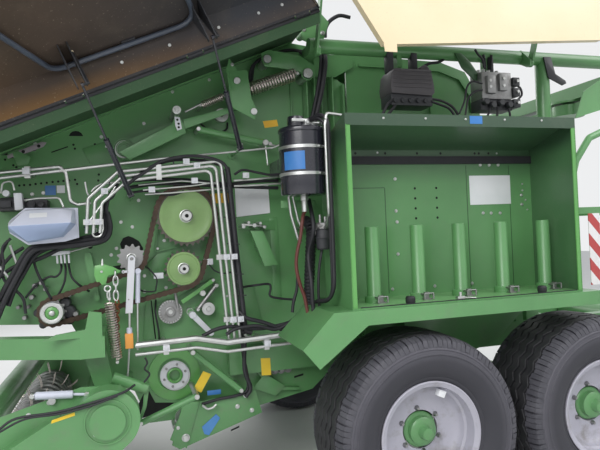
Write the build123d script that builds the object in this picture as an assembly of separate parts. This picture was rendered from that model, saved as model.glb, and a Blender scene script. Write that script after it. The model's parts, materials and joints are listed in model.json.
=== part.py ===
from build123d import *
import math
import os

# Round baler with film-roll stores and a rear bale wrapper, on a tandem axle.
# Millimetres. +X points to the rear, +Y to the machine's right, +Z up.
# The origin is on the ground under the parking jack's foot.
# The left service hood is open and the left film-box lid is raised.

# Running gear
AXLE_FRONT_X = 3350.0
WHEELBASE = 1130.0
TYRE_R = 529.0
TYRE_W = 500.0
WHEEL_OUT_Y = 1460.0
RIM_LIP_R = 288.0
RIM_SEAT_R = 262.0
RIM_SHEET = 14.0
RIM_DISC_IN = 150.0
STUB_R = 45.0
FIT_GAP = 0.3
BOGIE_Y = (790.0, 910.0)
BOGIE_TUBE_R = 55.0
BOGIE_TUBE_Z = 620.0
BOGIE_RISE = 40.0
BOGIE_HALF_H = 75.0

# Main frame
RAIL_Y = (665.0, 745.0)
RAIL_Z = (800.0, 950.0)
RAIL_X = (2420.0, 6250.0)
POST_Y0 = 700.0
OUTRIGGER_X = (3010.0, 3915.0, 4430.0)
OUTRIGGER_HALF = 30.0
FRONT_BEAM_X = (1630.0, 1745.0)
FRONT_BEAM_Z = (1035.0, 1140.0)
FRONT_BEAM_Y = 1050.0

# Drawbar, eye and jack
KNEE_X = 700.0
APEX_X = -350.0
APEX_Z = 760.0
ARM_W = 90.0
KNEE_Y = 560.0
APEX_Y = 60.0
EYE_R_IN = 20.0
EYE_R_OUT = 62.0
EYE_THICK = 42.0
EYE_X = -738.0
EYE_Z = 620.0
JACK_LEG_R = 38.0
JACK_SLEEVE_R = 54.0
JACK_FOOT_R = 120.0
JACK_FOOT_T = 14.0
JACK_TOP_Z = 1180.0
JACK_LEG_TOP = 740.0

# Side walls and bale chamber
WALL_Y = (640.0, 655.0)
WALL_FRONT_X = 1040.0
CHAMBER_X = 3200.0
CHAMBER_Z = 1650.0
BALE_R = 760.0
PARTING_X = 3260.0
PARTING_GAP = 6.0
HINGE_TG = (3260.0, 2700.0)
HINGE_PIN_R = 25.0
SLAT_COUNT = 12
GUIDE_W = 40.0
TG_BASE = (3330.0, 1120.0)
TG_PIN = (3650.0, 2250.0)
TG_OPEN = 50.0
CYL_Y = (704.0, 748.0)
CYL_R = 30.0
CYL_PIN_R = 15.0
CYL_EYE_R = 34.0
CYL_ROD_R = 16.0

# Roof, hoods and their struts
HOOD_FRONT = (950.0, 1999.0)
HOOD_REAR = (2910.0, 2822.0)
HOOD_BOTTOM = ((2900.0, 2250.0), (2900.0, 1250.0), (1030.0, 1160.0))
HOOD_Y = 1200.0
HOOD_BULGE = (150.0, 60.0)
HOOD_SHEET = 6.0
HOOD_LIP = 50.0
HOOD_OPEN = 115.0
HOOD_GAP = 11.0
STRUT_T = (818.0, 1467.0)
STRUT_S = 140.0
STRUT_H = 54.0
STRUT_FOOT = (-270.0, -500.0)
STRUT_R = 14.0
STRUT_ROD_R = 6.0
STRUT_BARREL = 360.0
STRUT_ROD = 340.0
STRUT_BRACKET = 26.0
STRUT_EYE = 32.0
KNUCKLE_T = (100.0, 725.0, 1350.0, 1975.0)
KNUCKLE_L = 80.0
KNUCKLE_R = 10.0
HOOD_PIN_R = 5.0

# Film-roll boxes and lids
BOX_X = (2945.0, 4370.0)
BOX_Y = (1000.0, 1400.0)
BOX_Z = (1215.0, 2216.0)
BOX_BACK_TOP = 2090.0
BOX_SHEET = 6.0
BOX_LIP = 62.0
SPIGOT_X = (3154.0, 3429.0, 3698.0, 3981.0, 4279.0)
SPIGOT_R = 38.0
SPIGOT_TOP = 1634.0
SPIGOT_Y = 1200.0
SPIGOT_COLLAR = (52.0, 34.0)
LID_GAP = 12.0
LID_SHEET = 6.0
LID_LIFT = 1300.0
LID_ARM = 700.0
LID_PIVOT = (1040.0, 2640.0)
LID_ARM_T = 12.0
LID_ARM_GAP = 4.0
LID_OUT_Y = 1455.0
LID_SLANT = (239.0, 385.0)
LID_PIN_R = 13.0
LID_RETURN = 200.0
LID_RISE = (22.0, 125.0)
LID_TAB = (68.0, 36.0)
LID_TAIL = 170.0

# Drive side: x, z and outer radius of each wheel of the chain drive
CHAIN_Y = 760.0
CHAIN_HALF = 9.0
CHAIN_PITCH = 31.75
TOOTH_DEPTH = 11.0
SPROCKETS = {
    "pressing": (2200.0, 1740.0, 170.0),
    "reversing": (2175.0, 1441.0, 107.0),
    "idler": (1891.0, 1516.0, 75.0),
    "input": (1478.0, 1248.0, 66.0),
}

# Pick-up and feed rotor
PICKUP_PIVOT = (1751.0, 756.0)
PICKUP_PIN_R = 30.0
HANGER_Y = (876.0, 892.0)
REEL_AXIS = (1250.0, 430.0)
REEL_CORE_R = 150.0
TINE_TIP_R = 240.0
TINE_COUNT = 18
PICKUP_HALF = 1075.0
SHIELD_T = 8.0
COVER_R = (150.0, 185.0)
GAUGE_AXIS = (1450.0, 350.0)
GAUGE_R = 200.0
GAUGE_W = 150.0
PICKUP_COVER_T = 125.0
GAUGE_Y = (PICKUP_HALF + PICKUP_COVER_T + 40.0, PICKUP_HALF + PICKUP_COVER_T + 40.0 + GAUGE_W)
ROTOR_AXIS = (2113.0, 817.0)
ROTOR_R = 250.0
ROTOR_SHAFT_R = 40.0
ROTOR_STARS = 9

# Pieces on the left wall
PIPE_R = 9.0
PIPE_Y = 845.0
LOW_PIPE_Y = 935.0
CLIP_HALF = 14.0
COVER_Y = (860.0, 1000.0)

# Wrapper
PORTAL_Z = 2700.0
PORTAL_R = 43.0
PORTAL_Y = 950.0
PORTAL_X0 = 2917.0
PORTAL_POST_X = 4540.0
HUNG = ((3990.0, 4280.0, 2330.0, 2600.0), (3370.0, 3660.0, 2340.0, 2590.0))
HUNG_Y = (-1080.0, -910.0)
WRAP_X = 5600.0
ARM_R = 1130.0
ARM_BEAM_Z = (2530.0, 2620.0)
ARM_HALF = 55.0
ARM_FOOT_Z = 1150.0
FILM_R = 120.0
FILM_H = 750.0
TABLE_Z = 760.0
TABLE_ROLLER_R = 95.0
TABLE_ROLLER_DX = 400.0
TABLE_HINGE = (6010.0, 640.0)
TABLE_PIN_R = 24.0
TABLE_LUG_T = 20.0
REAR_X = 6400.0

# Guards behind the film boxes
GUARD_Y = 1150.0
GUARD_BEAM = (1650.0, 1704.0)
GUARD_REAR_X = 4900.0
BOARD_X = (4440.0, 4520.0)
BOARD_Z = (1245.0, 1660.0)
BOARD_Y = 1395.0


def block(x0, x1, y0, y1, z0, z1):
    return Pos((x0 + x1) / 2, (y0 + y1) / 2, (z0 + z1) / 2) * Box(x1 - x0, y1 - y0, z1 - z0)


def plate(points, y0, y1):
    """An outline in X and Z, between two Y."""
    face = make_face(Polyline(*points, close=True))
    return extrude(Plane.XZ.offset(-y1) * face, amount=y1 - y0)


def section(points, x0, x1):
    """An outline in Y and Z, between two X."""
    face = make_face(Polyline(*points, close=True))
    return extrude(Plane.YZ.offset(x0) * face, amount=x1 - x0)


def drum(x, z, radius, y0, y1):
    """A cylinder along Y."""
    return Pos(x, (y0 + y1) / 2, z) * Rot(90, 0, 0) * Cylinder(radius, y1 - y0)


def post(x, y, radius, z0, z1):
    """A cylinder along Z."""
    return Pos(x, y, (z0 + z1) / 2) * Cylinder(radius, z1 - z0)


def rod(start, end, radius):
    """A round bar between two points."""
    line = Line(start, end)
    return sweep(Plane(origin=line @ 0, z_dir=line % 0) * Circle(radius), path=line)


def pipe(points, radius, bend):
    """A bent round bar: straight runs joined by tangent arcs."""
    path = FilletPolyline(*points, radius=bend)
    return sweep(Plane(origin=path @ 0, z_dir=path % 0) * Circle(radius), path=path)


def turned(profile, x, z):
    """A solid turned about Y from an outline of radius and Y."""
    face = make_face(Polyline(*profile, close=True))
    return Pos(x, 0, z) * revolve(face, Axis.Y, 360)


def mirrored(solid):
    return mirror(solid, about=Plane.XZ)


def both(*solids):
    """The solids of the right side, with their copies on the left."""
    return [*solids, *(mirrored(s) for s in solids)]


def fuse(first, *rest):
    for other in rest:
        first = first + other
    return first


def tyre(axle_x):
    crown = TYRE_R
    shoulder = TYRE_R - 29
    y1 = WHEEL_OUT_Y
    y0 = y1 - TYRE_W
    profile = [
        (RIM_LIP_R + 1, y0 + 50), (RIM_LIP_R + 60, y0 + 8), (400, y0), (shoulder - 30, y0 + 12),
        (shoulder, y0 + 30), (crown, y0 + 75), (crown, y1 - 75), (shoulder, y1 - 30),
        (shoulder - 30, y1 - 12), (400, y1), (RIM_LIP_R + 60, y1 - 8), (RIM_LIP_R + 1, y1 - 50),
        (RIM_SEAT_R + FIT_GAP, y1 - 51), (RIM_SEAT_R + FIT_GAP, y0 + 51),
    ]
    return turned(profile, axle_x, TYRE_R)


def rim(axle_x):
    y1 = WHEEL_OUT_Y - 34
    y0 = WHEEL_OUT_Y - TYRE_W + 34
    disc = y1 - RIM_DISC_IN
    profile = [
        (RIM_LIP_R, y0), (RIM_LIP_R, y0 + 12), (RIM_SEAT_R, y0 + 14), (RIM_SEAT_R, y1 - 14),
        (RIM_LIP_R, y1 - 12), (RIM_LIP_R, y1), (RIM_LIP_R - 10, y1), (RIM_SEAT_R - RIM_SHEET, y1 - 16),
        (RIM_SEAT_R - RIM_SHEET - 30, disc + 30), (200, disc + 8), (150, disc + 16), (105, disc + 16),
        (100, disc + 62), (86, disc + 70), (60, disc + 72), (56, disc + 96), (0, disc + 100),
        (0, disc + 40), (STUB_R + FIT_GAP, disc + 40), (STUB_R + FIT_GAP, disc - 120),
        (92, disc - 120), (100, disc - 20), (105, disc), (210, disc - 8),
        (RIM_SEAT_R - RIM_SHEET - 14, disc + 10), (RIM_SEAT_R - RIM_SHEET, y0 + 16), (RIM_LIP_R - 10, y0),
    ]
    return turned(profile, axle_x, TYRE_R)


def bogie():
    """A beam on each side of the cross tube, with its two stub axles."""
    mid = AXLE_FRONT_X + WHEELBASE / 2
    rear = AXLE_FRONT_X + WHEELBASE
    h = BOGIE_HALF_H
    outline = [
        (AXLE_FRONT_X - 80, TYRE_R - h), (rear + 80, TYRE_R - h), (rear + 80, TYRE_R + h),
        (mid + 180, BOGIE_TUBE_Z + BOGIE_RISE + h), (mid - 180, BOGIE_TUBE_Z + BOGIE_RISE + h),
        (AXLE_FRONT_X - 80, TYRE_R + h),
    ]
    beam = plate(outline, *BOGIE_Y)
    end = WHEEL_OUT_Y - 34 - RIM_DISC_IN + 30
    for x in (AXLE_FRONT_X, rear):
        beam += drum(x, TYRE_R, STUB_R, BOGIE_Y[1], end)
    beam += drum(mid, BOGIE_TUBE_Z, BOGIE_TUBE_R + 25, BOGIE_Y[0] - 35, BOGIE_Y[0])
    tube = drum(mid, BOGIE_TUBE_Z, BOGIE_TUBE_R, -BOGIE_Y[0], BOGIE_Y[0])
    return [fuse(tube, *both(beam))]


def chassis():
    """Two rails, cross members, axle brackets and the outriggers over the wheels."""
    mid = AXLE_FRONT_X + WHEELBASE / 2
    rail = block(*RAIL_X, *RAIL_Y, *RAIL_Z)
    rail += block(RAIL_X[0] + 30, PARTING_X - 60, WALL_Y[1], RAIL_Y[0], RAIL_Z[0] + 10, RAIL_Z[1] - 10)
    rail += block(mid - 70, mid + 70, *RAIL_Y, BOGIE_TUBE_Z - 80, RAIL_Z[0])
    rail -= drum(mid, BOGIE_TUBE_Z, BOGIE_TUBE_R, *RAIL_Y)
    hx, hz = TABLE_HINGE
    rail += block(hx - 55, hx + 55, RAIL_Y[0], RAIL_Y[0] + TABLE_LUG_T, hz - 50, RAIL_Z[0])
    rail -= drum(hx, hz, TABLE_PIN_R + FIT_GAP, RAIL_Y[0], RAIL_Y[0] + TABLE_LUG_T)
    for x in OUTRIGGER_X:
        x0, x1 = x - OUTRIGGER_HALF, x + OUTRIGGER_HALF
        rail += block(x0, x1, POST_Y0, RAIL_Y[1], RAIL_Z[1], BOX_Z[0] - 5)
        rail += block(x0, x1, POST_Y0, 1435, BOX_Z[0] - 76, BOX_Z[0] - 5)
    x0, x1 = PORTAL_POST_X - 50, PORTAL_POST_X + 50
    rail += block(x0, x1, POST_Y0, RAIL_Y[1], RAIL_Z[1], BOX_Z[0] - 5)
    rail += block(x0, x1, POST_Y0, PORTAL_Y + 50, BOX_Z[0] - 76, BOX_Z[0] - 5)
    sides = both(rail)
    front = block(4700, 4800, -RAIL_Y[0], RAIL_Y[0], RAIL_Z[0], RAIL_Z[0] + 100)
    rear = block(RAIL_X[1] - 100, RAIL_X[1], -RAIL_Y[0], RAIL_Y[0], RAIL_Z[0] - 320, RAIL_Z[0] - 220)
    legs = both(block(RAIL_X[1] - 100, RAIL_X[1], *RAIL_Y, RAIL_Z[0] - 320, RAIL_Z[0]))
    return [fuse(front, *sides, rear, *legs)]


def drawbar():
    """Two beams that meet ahead of the pick-up, a cross beam behind them and the jack's sleeve."""
    z0, z1 = FRONT_BEAM_Z
    drop = (z0 + z1) / 2 - APEX_Z
    side = plate(
        [(FRONT_BEAM_X[0], z0), (FRONT_BEAM_X[0], z1), (KNEE_X, z1), (APEX_X, z1 - drop),
         (EYE_X + 90, z1 - drop - 60), (EYE_X + 90, z0 - drop - 25), (APEX_X, z0 - drop), (KNEE_X, z0)],
        -FRONT_BEAM_Y, FRONT_BEAM_Y)
    w = ARM_W
    x_back = FRONT_BEAM_X[0]
    arm = make_face(Polyline(
        (x_back, FRONT_BEAM_Y - w), (x_back, FRONT_BEAM_Y), (KNEE_X, KNEE_Y + w / 2),
        (APEX_X, APEX_Y + w / 3), (APEX_X, 0), (KNEE_X, KNEE_Y - w / 2), close=True))
    pole = Pos((APEX_X + EYE_X) / 2 + 70, 0, 0) * Box(abs(EYE_X - APEX_X) + 40, 2 * APEX_Y, 4000)
    plan = extrude(arm, amount=2000)
    body = fuse(side & plan, side & mirrored(plan), side & pole)
    z_jack = z1 - drop * (KNEE_X - 0) / (KNEE_X - APEX_X)
    body += side & (Pos(0, 0, 1000) * Box(120, 420, 2000))
    body += post(0, 0, JACK_SLEEVE_R, z_jack - 300, JACK_TOP_Z)
    body -= post(0, 0, JACK_LEG_R + FIT_GAP, 0, JACK_TOP_Z - 20)
    body += block(*FRONT_BEAM_X, -FRONT_BEAM_Y, FRONT_BEAM_Y, z0, z1)
    tower = plate(
        [(FRONT_BEAM_X[0] - 170, z1), (FRONT_BEAM_X[1] - 10, z1), (FRONT_BEAM_X[1] - 10, z1 + 118),
         (FRONT_BEAM_X[1] - 70, z1 + 130), (FRONT_BEAM_X[1] - 90, z1 + 40), (FRONT_BEAM_X[0] - 110, z1 + 25)],
        FRONT_BEAM_Y - 20, FRONT_BEAM_Y)
    px, pz = PICKUP_PIVOT
    hanger = plate([(FRONT_BEAM_X[0], z0), (FRONT_BEAM_X[1], z0), (px + 45, pz + 20), (px + 45, pz - 45),
                    (px - 45, pz - 45), (px - 45, pz + 20)], *HANGER_Y)
    hanger += drum(px, pz, PICKUP_PIN_R, HANGER_Y[0], PICKUP_HALF - 35)
    return [fuse(body, *both(tower, hanger))]


def towing_eye():
    z0, z1 = EYE_Z - EYE_THICK / 2, EYE_Z + EYE_THICK / 2
    ring = post(EYE_X, 0, EYE_R_OUT, z0, z1)
    shank = block(EYE_X, EYE_X + 80, -34, 34, z0, z1)
    flange = block(EYE_X + 76, EYE_X + 90, -APEX_Y, APEX_Y, EYE_Z - 90, EYE_Z + 75)
    return [fuse(ring, shank, flange) - post(EYE_X, 0, EYE_R_IN, z0, z1)]


def jack_leg():
    leg = post(0, 0, JACK_LEG_R, JACK_FOOT_T, JACK_LEG_TOP)
    return [leg + post(0, 0, JACK_FOOT_R, 0, JACK_FOOT_T)]


def roof_under(x):
    """The height of the roof's underside."""
    c, s, _ = hood_basis()
    return HOOD_FRONT[1] + (x - HOOD_FRONT[0]) * s / c - HOOD_SHEET / c


def side_walls():
    """The two fixed side plates, with the tailgate's hinge ears and pins."""
    edge = PARTING_X - PARTING_GAP
    outline = [
        (1640, 1000), (1560, 1160), (WALL_FRONT_X, 1200), (WALL_FRONT_X, roof_under(WALL_FRONT_X)),
        (HOOD_REAR[0] - 10, roof_under(HOOD_REAR[0] - 10)),
        (3150, 2780), (3180, 2600),
        (edge, 2560), (edge, 900), (2950, 640), (2500, 560), (1960, 560), (1880, 760), (1700, 900),
    ]
    wall = plate(outline, *WALL_Y)
    wall -= block(*FRONT_BEAM_X, -FRONT_BEAM_Y, FRONT_BEAM_Y, *FRONT_BEAM_Z)
    wall -= drum(*ROTOR_AXIS, 60, *WALL_Y)
    ear = plate([(3040, 2600), (3040, 2740), (3230, 2745), (3305, 2730), (3305, 2670), (3180, 2600)],
                WALL_Y[1] + 6, WALL_Y[1] + 24)
    ear += block(3050, 3140, WALL_Y[1], WALL_Y[1] + 6, 2620, 2720)
    ear += drum(*HINGE_TG, HINGE_PIN_R, WALL_Y[0] - 10, WALL_Y[1] + 24)
    x0, x1 = WALL_FRONT_X, HOOD_REAR[0] - 10
    rim_strip = plate([(x0, roof_under(x0)), (x1, roof_under(x1)), (x1, roof_under(x1) - 8), (x0, roof_under(x0) - 8)],
                      WALL_Y[1], WALL_Y[1] + 40)
    feet = []
    for t in STRUT_T:
        x, _, z = hood_point(t, *STRUT_FOOT)
        feet.append(drum(x, z, 12, WALL_Y[1], HOOD_Y + STRUT_FOOT[0] - STRUT_R - FIT_GAP))
        feet.append(drum(x, z, 26, WALL_Y[1], WALL_Y[1] + 12))
    wall = fuse(wall, ear, rim_strip, *feet)
    inner = WALL_Y[0]
    ties = [drum(1420, 2080, 30, -inner, inner), drum(2900, 2690, 40, -inner, inner),
            drum(1110, 1920, 30, -inner, inner), drum(1110, 1300, 30, -inner, inner),
            drum(1500, 1640, 30, -inner, inner), drum(2960, 720, 45, -inner, inner)]
    return [fuse(ties[0], *both(wall), *ties[1:])]


def slat_ring(start, end, count):
    """Slats between two curved guide bands, round the bale."""
    bands = []
    inner = WALL_Y[0]
    for y0 in (-inner, inner - GUIDE_W):
        ring = drum(CHAMBER_X, CHAMBER_Z, BALE_R + 45, y0, y0 + GUIDE_W)
        ring -= drum(CHAMBER_X, CHAMBER_Z, BALE_R + 15, y0, y0 + GUIDE_W)
        bands.append(ring)
    far = 2000.0
    wedge = [(CHAMBER_X, CHAMBER_Z)]
    steps = 4
    for i in range(steps + 1):
        a = math.radians(start + (end - start) * i / steps)
        wedge.append((CHAMBER_X + far * math.cos(a), CHAMBER_Z + far * math.sin(a)))
    keep = plate(wedge, -inner, inner)
    loop = [band & keep for band in bands]
    solid = loop[0] + loop[1]
    for i in range(count):
        a = start + 4 + (end - start - 8) * i / (count - 1)
        slat = Pos(CHAMBER_X, 0, CHAMBER_Z) * Rot(0, -a, 0) * Pos(BALE_R + 30, 0, 0) * Box(24, 2 * inner - GUIDE_W, 44)
        solid += slat
    return [solid]


def tailgate():
    """A casing that lifts to the rear: two walls and the skin between them."""
    edge = PARTING_X + PARTING_GAP / 2
    outline = [
        (edge, 900), (edge, 2640), (HINGE_TG[0] - 45, 2660), (HINGE_TG[0] - 45, 2730),
        (HINGE_TG[0] - 10, 2752), (3545, 2752), (3956, 2740), (4148, 2680), (4243, 2523), (4254, 2419),
        (4254, 1400), (4100, 1050), (3800, 890), (3500, 850),
    ]
    wall = plate(outline, *WALL_Y)
    wall -= drum(*HINGE_TG, HINGE_PIN_R + FIT_GAP, *WALL_Y)
    cyl_boss = drum(*TG_PIN, 32, WALL_Y[1], CYL_Y[0] - FIT_GAP)
    ribs = [
        plate([(3350, 2700), (3940, 2690), (4100, 2640), (4190, 2510), (4200, 2400), (4180, 2400),
               (4172, 2505), (4090, 2622), (3936, 2672), (3350, 2682)], WALL_Y[1], WALL_Y[1] + 16),
        plate([(3320, 1180), (4200, 1700), (4200, 1680), (3320, 1160)], WALL_Y[1], WALL_Y[1] + 16),
        plate([(3860, 1300), (3880, 1300), (3880, 2640), (3860, 2640)], WALL_Y[1], WALL_Y[1] + 16),
    ]
    wall = fuse(wall, cyl_boss, *ribs)
    inner_y = WALL_Y[0]
    whole = plate(outline[4:] + [(3300, 850)], -inner_y, inner_y)
    hollow = plate(
        [(HINGE_TG[0] - 30, 2746), (3545, 2746), (3955, 2734), (4143, 2676), (4237, 2521), (4248, 2419),
         (4248, 1402), (4096, 1055), (3798, 896), (3500, 856), (3200, 856), (3200, 2746)],
        -inner_y, inner_y)
    skin = whole - hollow
    skin -= block(3100, 3500, -inner_y, inner_y, 800, 2700)
    bar = drum(4160, 2560, 30, -inner_y, inner_y) + drum(3560, 890, 28, -inner_y, inner_y)
    return [fuse(skin, *both(wall), bar)]


def along(start, end, distance):
    length = math.dist(start, end)
    return tuple(a + (b - a) * distance / length for a, b in zip(start, end))


def lift_barrels():
    base = (TG_BASE[0], sum(CYL_Y) / 2, TG_BASE[1])
    pin = (TG_PIN[0], base[1], TG_PIN[1])
    length = 760.0
    barrel = rod(along(base, pin, 25), along(base, pin, length), CYL_R)
    barrel += drum(*TG_BASE, CYL_EYE_R, *CYL_Y)
    barrel -= rod(along(base, pin, 60), along(base, pin, length), CYL_ROD_R + FIT_GAP)
    return both(barrel - drum(*TG_BASE, CYL_PIN_R + FIT_GAP, base[1] - CYL_R, base[1] + CYL_R))


def lift_rods():
    base = (TG_BASE[0], sum(CYL_Y) / 2, TG_BASE[1])
    pin = (TG_PIN[0], base[1], TG_PIN[1])
    span = math.dist(base, pin)
    shaft = rod(along(base, pin, 120), along(base, pin, span - 20), CYL_ROD_R)
    return both(shaft + drum(*TG_PIN, 32, *CYL_Y))


def lift_brackets():
    """The pins at the foot of the tailgate's cylinders, standing on the rails."""
    x, z = TG_BASE
    y0 = sum(CYL_Y) / 2 + CYL_R + 5
    y1 = y0 + 12
    lug = plate([(x - 60, RAIL_Z[1]), (x + 60, RAIL_Z[1]), (x + 34, z + 20), (x - 34, z + 20)], y0, y1)
    lug += drum(x, z, CYL_PIN_R, CYL_Y[0], y1)
    lug += block(x - 60, x + 60, RAIL_Y[1] - 20, y1, RAIL_Z[1], RAIL_Z[1] + 10)
    return both(lug)


def hood_basis():
    run = (HOOD_REAR[0] - HOOD_FRONT[0], HOOD_REAR[1] - HOOD_FRONT[1])
    length = math.hypot(*run)
    return run[0] / length, run[1] / length, length


def hood_point(t, u, v):
    """A point from its place along the right hood's hinge, outward of it and above it."""
    c, s, _ = hood_basis()
    return (HOOD_FRONT[0] + t * c - v * s, HOOD_Y + u, HOOD_FRONT[1] + t * s + v * c)


def swung(solid, angle):
    """The right hood's pieces turned about its hinge."""
    c, s, _ = hood_basis()
    origin = (HOOD_FRONT[0], HOOD_Y, HOOD_FRONT[1])
    return solid.rotate(Axis(origin, (c, 0, s)), angle)


def hood_run(points):
    """A section in u and v, run along the hinge and well past both its ends."""
    c, s, length = hood_basis()
    face = make_face(Polyline(*points, close=True))
    origin = (HOOD_FRONT[0] - c * length / 2, HOOD_Y, HOOD_FRONT[1] - s * length / 2)
    return extrude(Plane(origin=origin, x_dir=(0, 1, 0), z_dir=(c, 0, s)) * face, amount=2 * length)


def hood(angle):
    """A pressed cover, hollow towards the machine, hung from its upper edge."""
    out, drop = HOOD_BULGE
    t = HOOD_SHEET
    deep = 2000.0
    outline = make_face(Polyline(HOOD_FRONT, HOOD_REAR, *HOOD_BOTTOM, close=True))
    far = Plane.XZ.offset(-HOOD_Y - 300)
    prism = extrude(far * outline, amount=600)
    inset = extrude(far * offset(outline, amount=-t), amount=600)
    lip = out - HOOD_LIP
    outer = [(0, 0), (out, -drop), (out, -deep), (lip, -deep), (lip, -drop - 22), (0, -30)]
    hollow = [(-1, -t - 1), (out - t, -drop - t * 0.7), (out - t, -deep), (lip - 1, -deep),
              (lip - 1, -drop - 23), (-1, -31)]
    shell = (hood_run(outer) & prism) - (hood_run(hollow) & inset)
    for t_pin in STRUT_T:
        side = t_pin + STRUT_BRACKET
        shell += rod(hood_point(side, -STRUT_H, -STRUT_S), hood_point(side, out - t, -STRUT_S), 8)
        shell += rod_along_hinge(t_pin + STRUT_ROD_R + FIT_GAP, side + 8, -STRUT_H, -STRUT_S, 7)
    for t0 in KNUCKLE_T:
        shell -= rod_along_hinge(t0 - 8, t0 + KNUCKLE_L + 8, 0, 0, KNUCKLE_R - 1)
        shell += rod_along_hinge(t0, t0 + KNUCKLE_L, 0, 0, KNUCKLE_R)
        shell -= rod_along_hinge(t0, t0 + KNUCKLE_L, 0, 0, HOOD_PIN_R + FIT_GAP)
    return swung(shell, angle)


def rod_along_hinge(t0, t1, u, v, radius):
    return rod(hood_point(t0, u, v), hood_point(t1, u, v), radius)


def strut_ends(angle):
    """The foot and the hood pin of a strut, outward and above the hinge."""
    a = math.radians(angle)
    pin = (STRUT_S * math.sin(a) - STRUT_H * math.cos(a), -STRUT_S * math.cos(a) - STRUT_H * math.sin(a))
    return STRUT_FOOT, pin


def strut_line(t, angle):
    foot, pin = strut_ends(angle)
    return hood_point(t, *foot), hood_point(t, *pin)


def strut_barrels(angle):
    solids = []
    for t in STRUT_T:
        foot, pin = strut_line(t, angle)
        barrel = rod_along_hinge(t - STRUT_EYE / 2, t + STRUT_EYE / 2, *STRUT_FOOT, STRUT_R)
        barrel += rod(along(foot, pin, 5), along(foot, pin, STRUT_BARREL), STRUT_R)
        barrel -= rod(along(foot, pin, 25), along(foot, pin, STRUT_BARREL), STRUT_ROD_R + FIT_GAP)
        solids.append(barrel)
    return solids


def strut_rods(angle):
    solids = []
    for t in STRUT_T:
        foot, pin = strut_line(t, angle)
        span = math.dist(foot, pin)
        shaft = rod(along(foot, pin, span - STRUT_ROD), along(foot, pin, span - 6), STRUT_ROD_R)
        _, (u, v) = strut_ends(angle)
        solids.append(shaft + rod_along_hinge(t - STRUT_ROD_R, t + STRUT_ROD_R, u, v, 11))
    return solids


def roof():
    """The top cover between the two hood hinges, with the hinges' outer rails."""
    c, s, length = hood_basis()
    top = HOOD_Y - HOOD_GAP
    skin = section([(-top, -6), (top, -6), (top, 0), (-top, 0)], 0, length)
    lips = [section([(y0, -70), (y0 + 6, -70), (y0 + 6, -6), (y0, -6)], 0, length) for y0 in (-top, top - 6)]
    pins = []
    for t0 in KNUCKLE_T:
        t1 = t0 + KNUCKLE_L
        pins.append(across(t0 - 6, t1 + 6, HOOD_Y, 0, HOOD_PIN_R))
        for x0 in (t0 - 6, t1 + 1):
            pins.append(across(x0, x0 + 5, HOOD_Y, 0, KNUCKLE_R - 2))
            pins.append(block(x0, x0 + 5, top - 6, HOOD_Y, -6, 0))
    whole = fuse(skin, *lips, *both(*pins))
    tilt = math.degrees(math.atan2(s, c))
    sloped = Pos(HOOD_FRONT[0], 0, HOOD_FRONT[1]) * Rot(0, -tilt, 0) * whole
    return [sloped - block(HOOD_REAR[0], HOOD_REAR[0] + 200, -HOOD_Y, HOOD_Y, 2000, 3500)]


def front_cover():
    """The panel over the gearbox, with the net box behind its upper half."""
    x0 = HOOD_FRONT[0]
    z_top = HOOD_FRONT[1] - 80
    panel = section([(-1000, 1460), (-960, 1420), (960, 1420), (1000, 1460), (1000, z_top), (-1000, z_top)],
                    x0, x0 + 12)
    net_box = block(x0 + 12, WALL_FRONT_X, -WALL_Y[1], WALL_Y[1], 1500, z_top - 40)
    return [panel + net_box]


def film_box():
    y0, y1 = BOX_Y
    z0, z1 = BOX_Z
    t = BOX_SHEET
    outer = section([(y0, z0), (y1, z0), (y1, z1), (y1 - 30, z1), (y0, BOX_BACK_TOP)], *BOX_X)
    inner = section([(y0 + t, z0 + t), (y1 + 10, z0 + t), (y1 + 10, z1 - BOX_LIP), (y1 - t, z1 - BOX_LIP),
                     (y1 - t, z1 - t - 4), (y0 + t, BOX_BACK_TOP - t)], BOX_X[0] + t, BOX_X[1] - t)
    return outer - inner


def film_boxes():
    return both(film_box())


def roll_spigots():
    solids = []
    base = BOX_Z[0] + BOX_SHEET
    for x in SPIGOT_X:
        tube = post(x, SPIGOT_Y, SPIGOT_R, base, SPIGOT_TOP)
        tube += post(x, SPIGOT_Y, SPIGOT_COLLAR[0], base, base + SPIGOT_COLLAR[1])
        clamp = block(x - 20, x + 46, SPIGOT_Y + SPIGOT_R, SPIGOT_Y + 84, base, base + SPIGOT_COLLAR[1])
        solids.append(tube + clamp)
    return both(*solids)


def mudguards():
    """The folded sill under each film box, with its sloping front."""
    top = [(2663, 1047), (2830, BOX_Z[0]), (4473, BOX_Z[0]), (4473, BOX_Z[0] - 5), (2832, BOX_Z[0] - 5),
           (2667, 1042)]
    sheet = plate(top, 960, 1440)
    flange = plate([(2663, 1047), (2830, BOX_Z[0]), (4473, BOX_Z[0]), (4473, BOX_Z[0] - 76), (3010, BOX_Z[0] - 76),
                    (2746, 946)], 1435, 1440)
    return both(sheet + flange)


def lid_arm_line():
    """Pivot and far end of a lid arm, raised, in Y and Z."""
    y, z = LID_PIVOT
    rise = LID_LIFT / 2
    return (y, z), (y + math.sqrt(LID_ARM ** 2 - rise ** 2), z + rise)


def across(x0, x1, y, z, radius):
    """A cylinder along X."""
    return Pos((x0 + x1) / 2, y, z) * Rot(0, 90, 0) * Cylinder(radius, x1 - x0)


def lid_arm_spans():
    """The X span of each lid arm, just outside the box's ends."""
    front = BOX_X[0] - LID_ARM_GAP
    rear = BOX_X[1] + LID_ARM_GAP
    return (front - LID_ARM_T, front), (rear, rear + LID_ARM_T)


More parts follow.
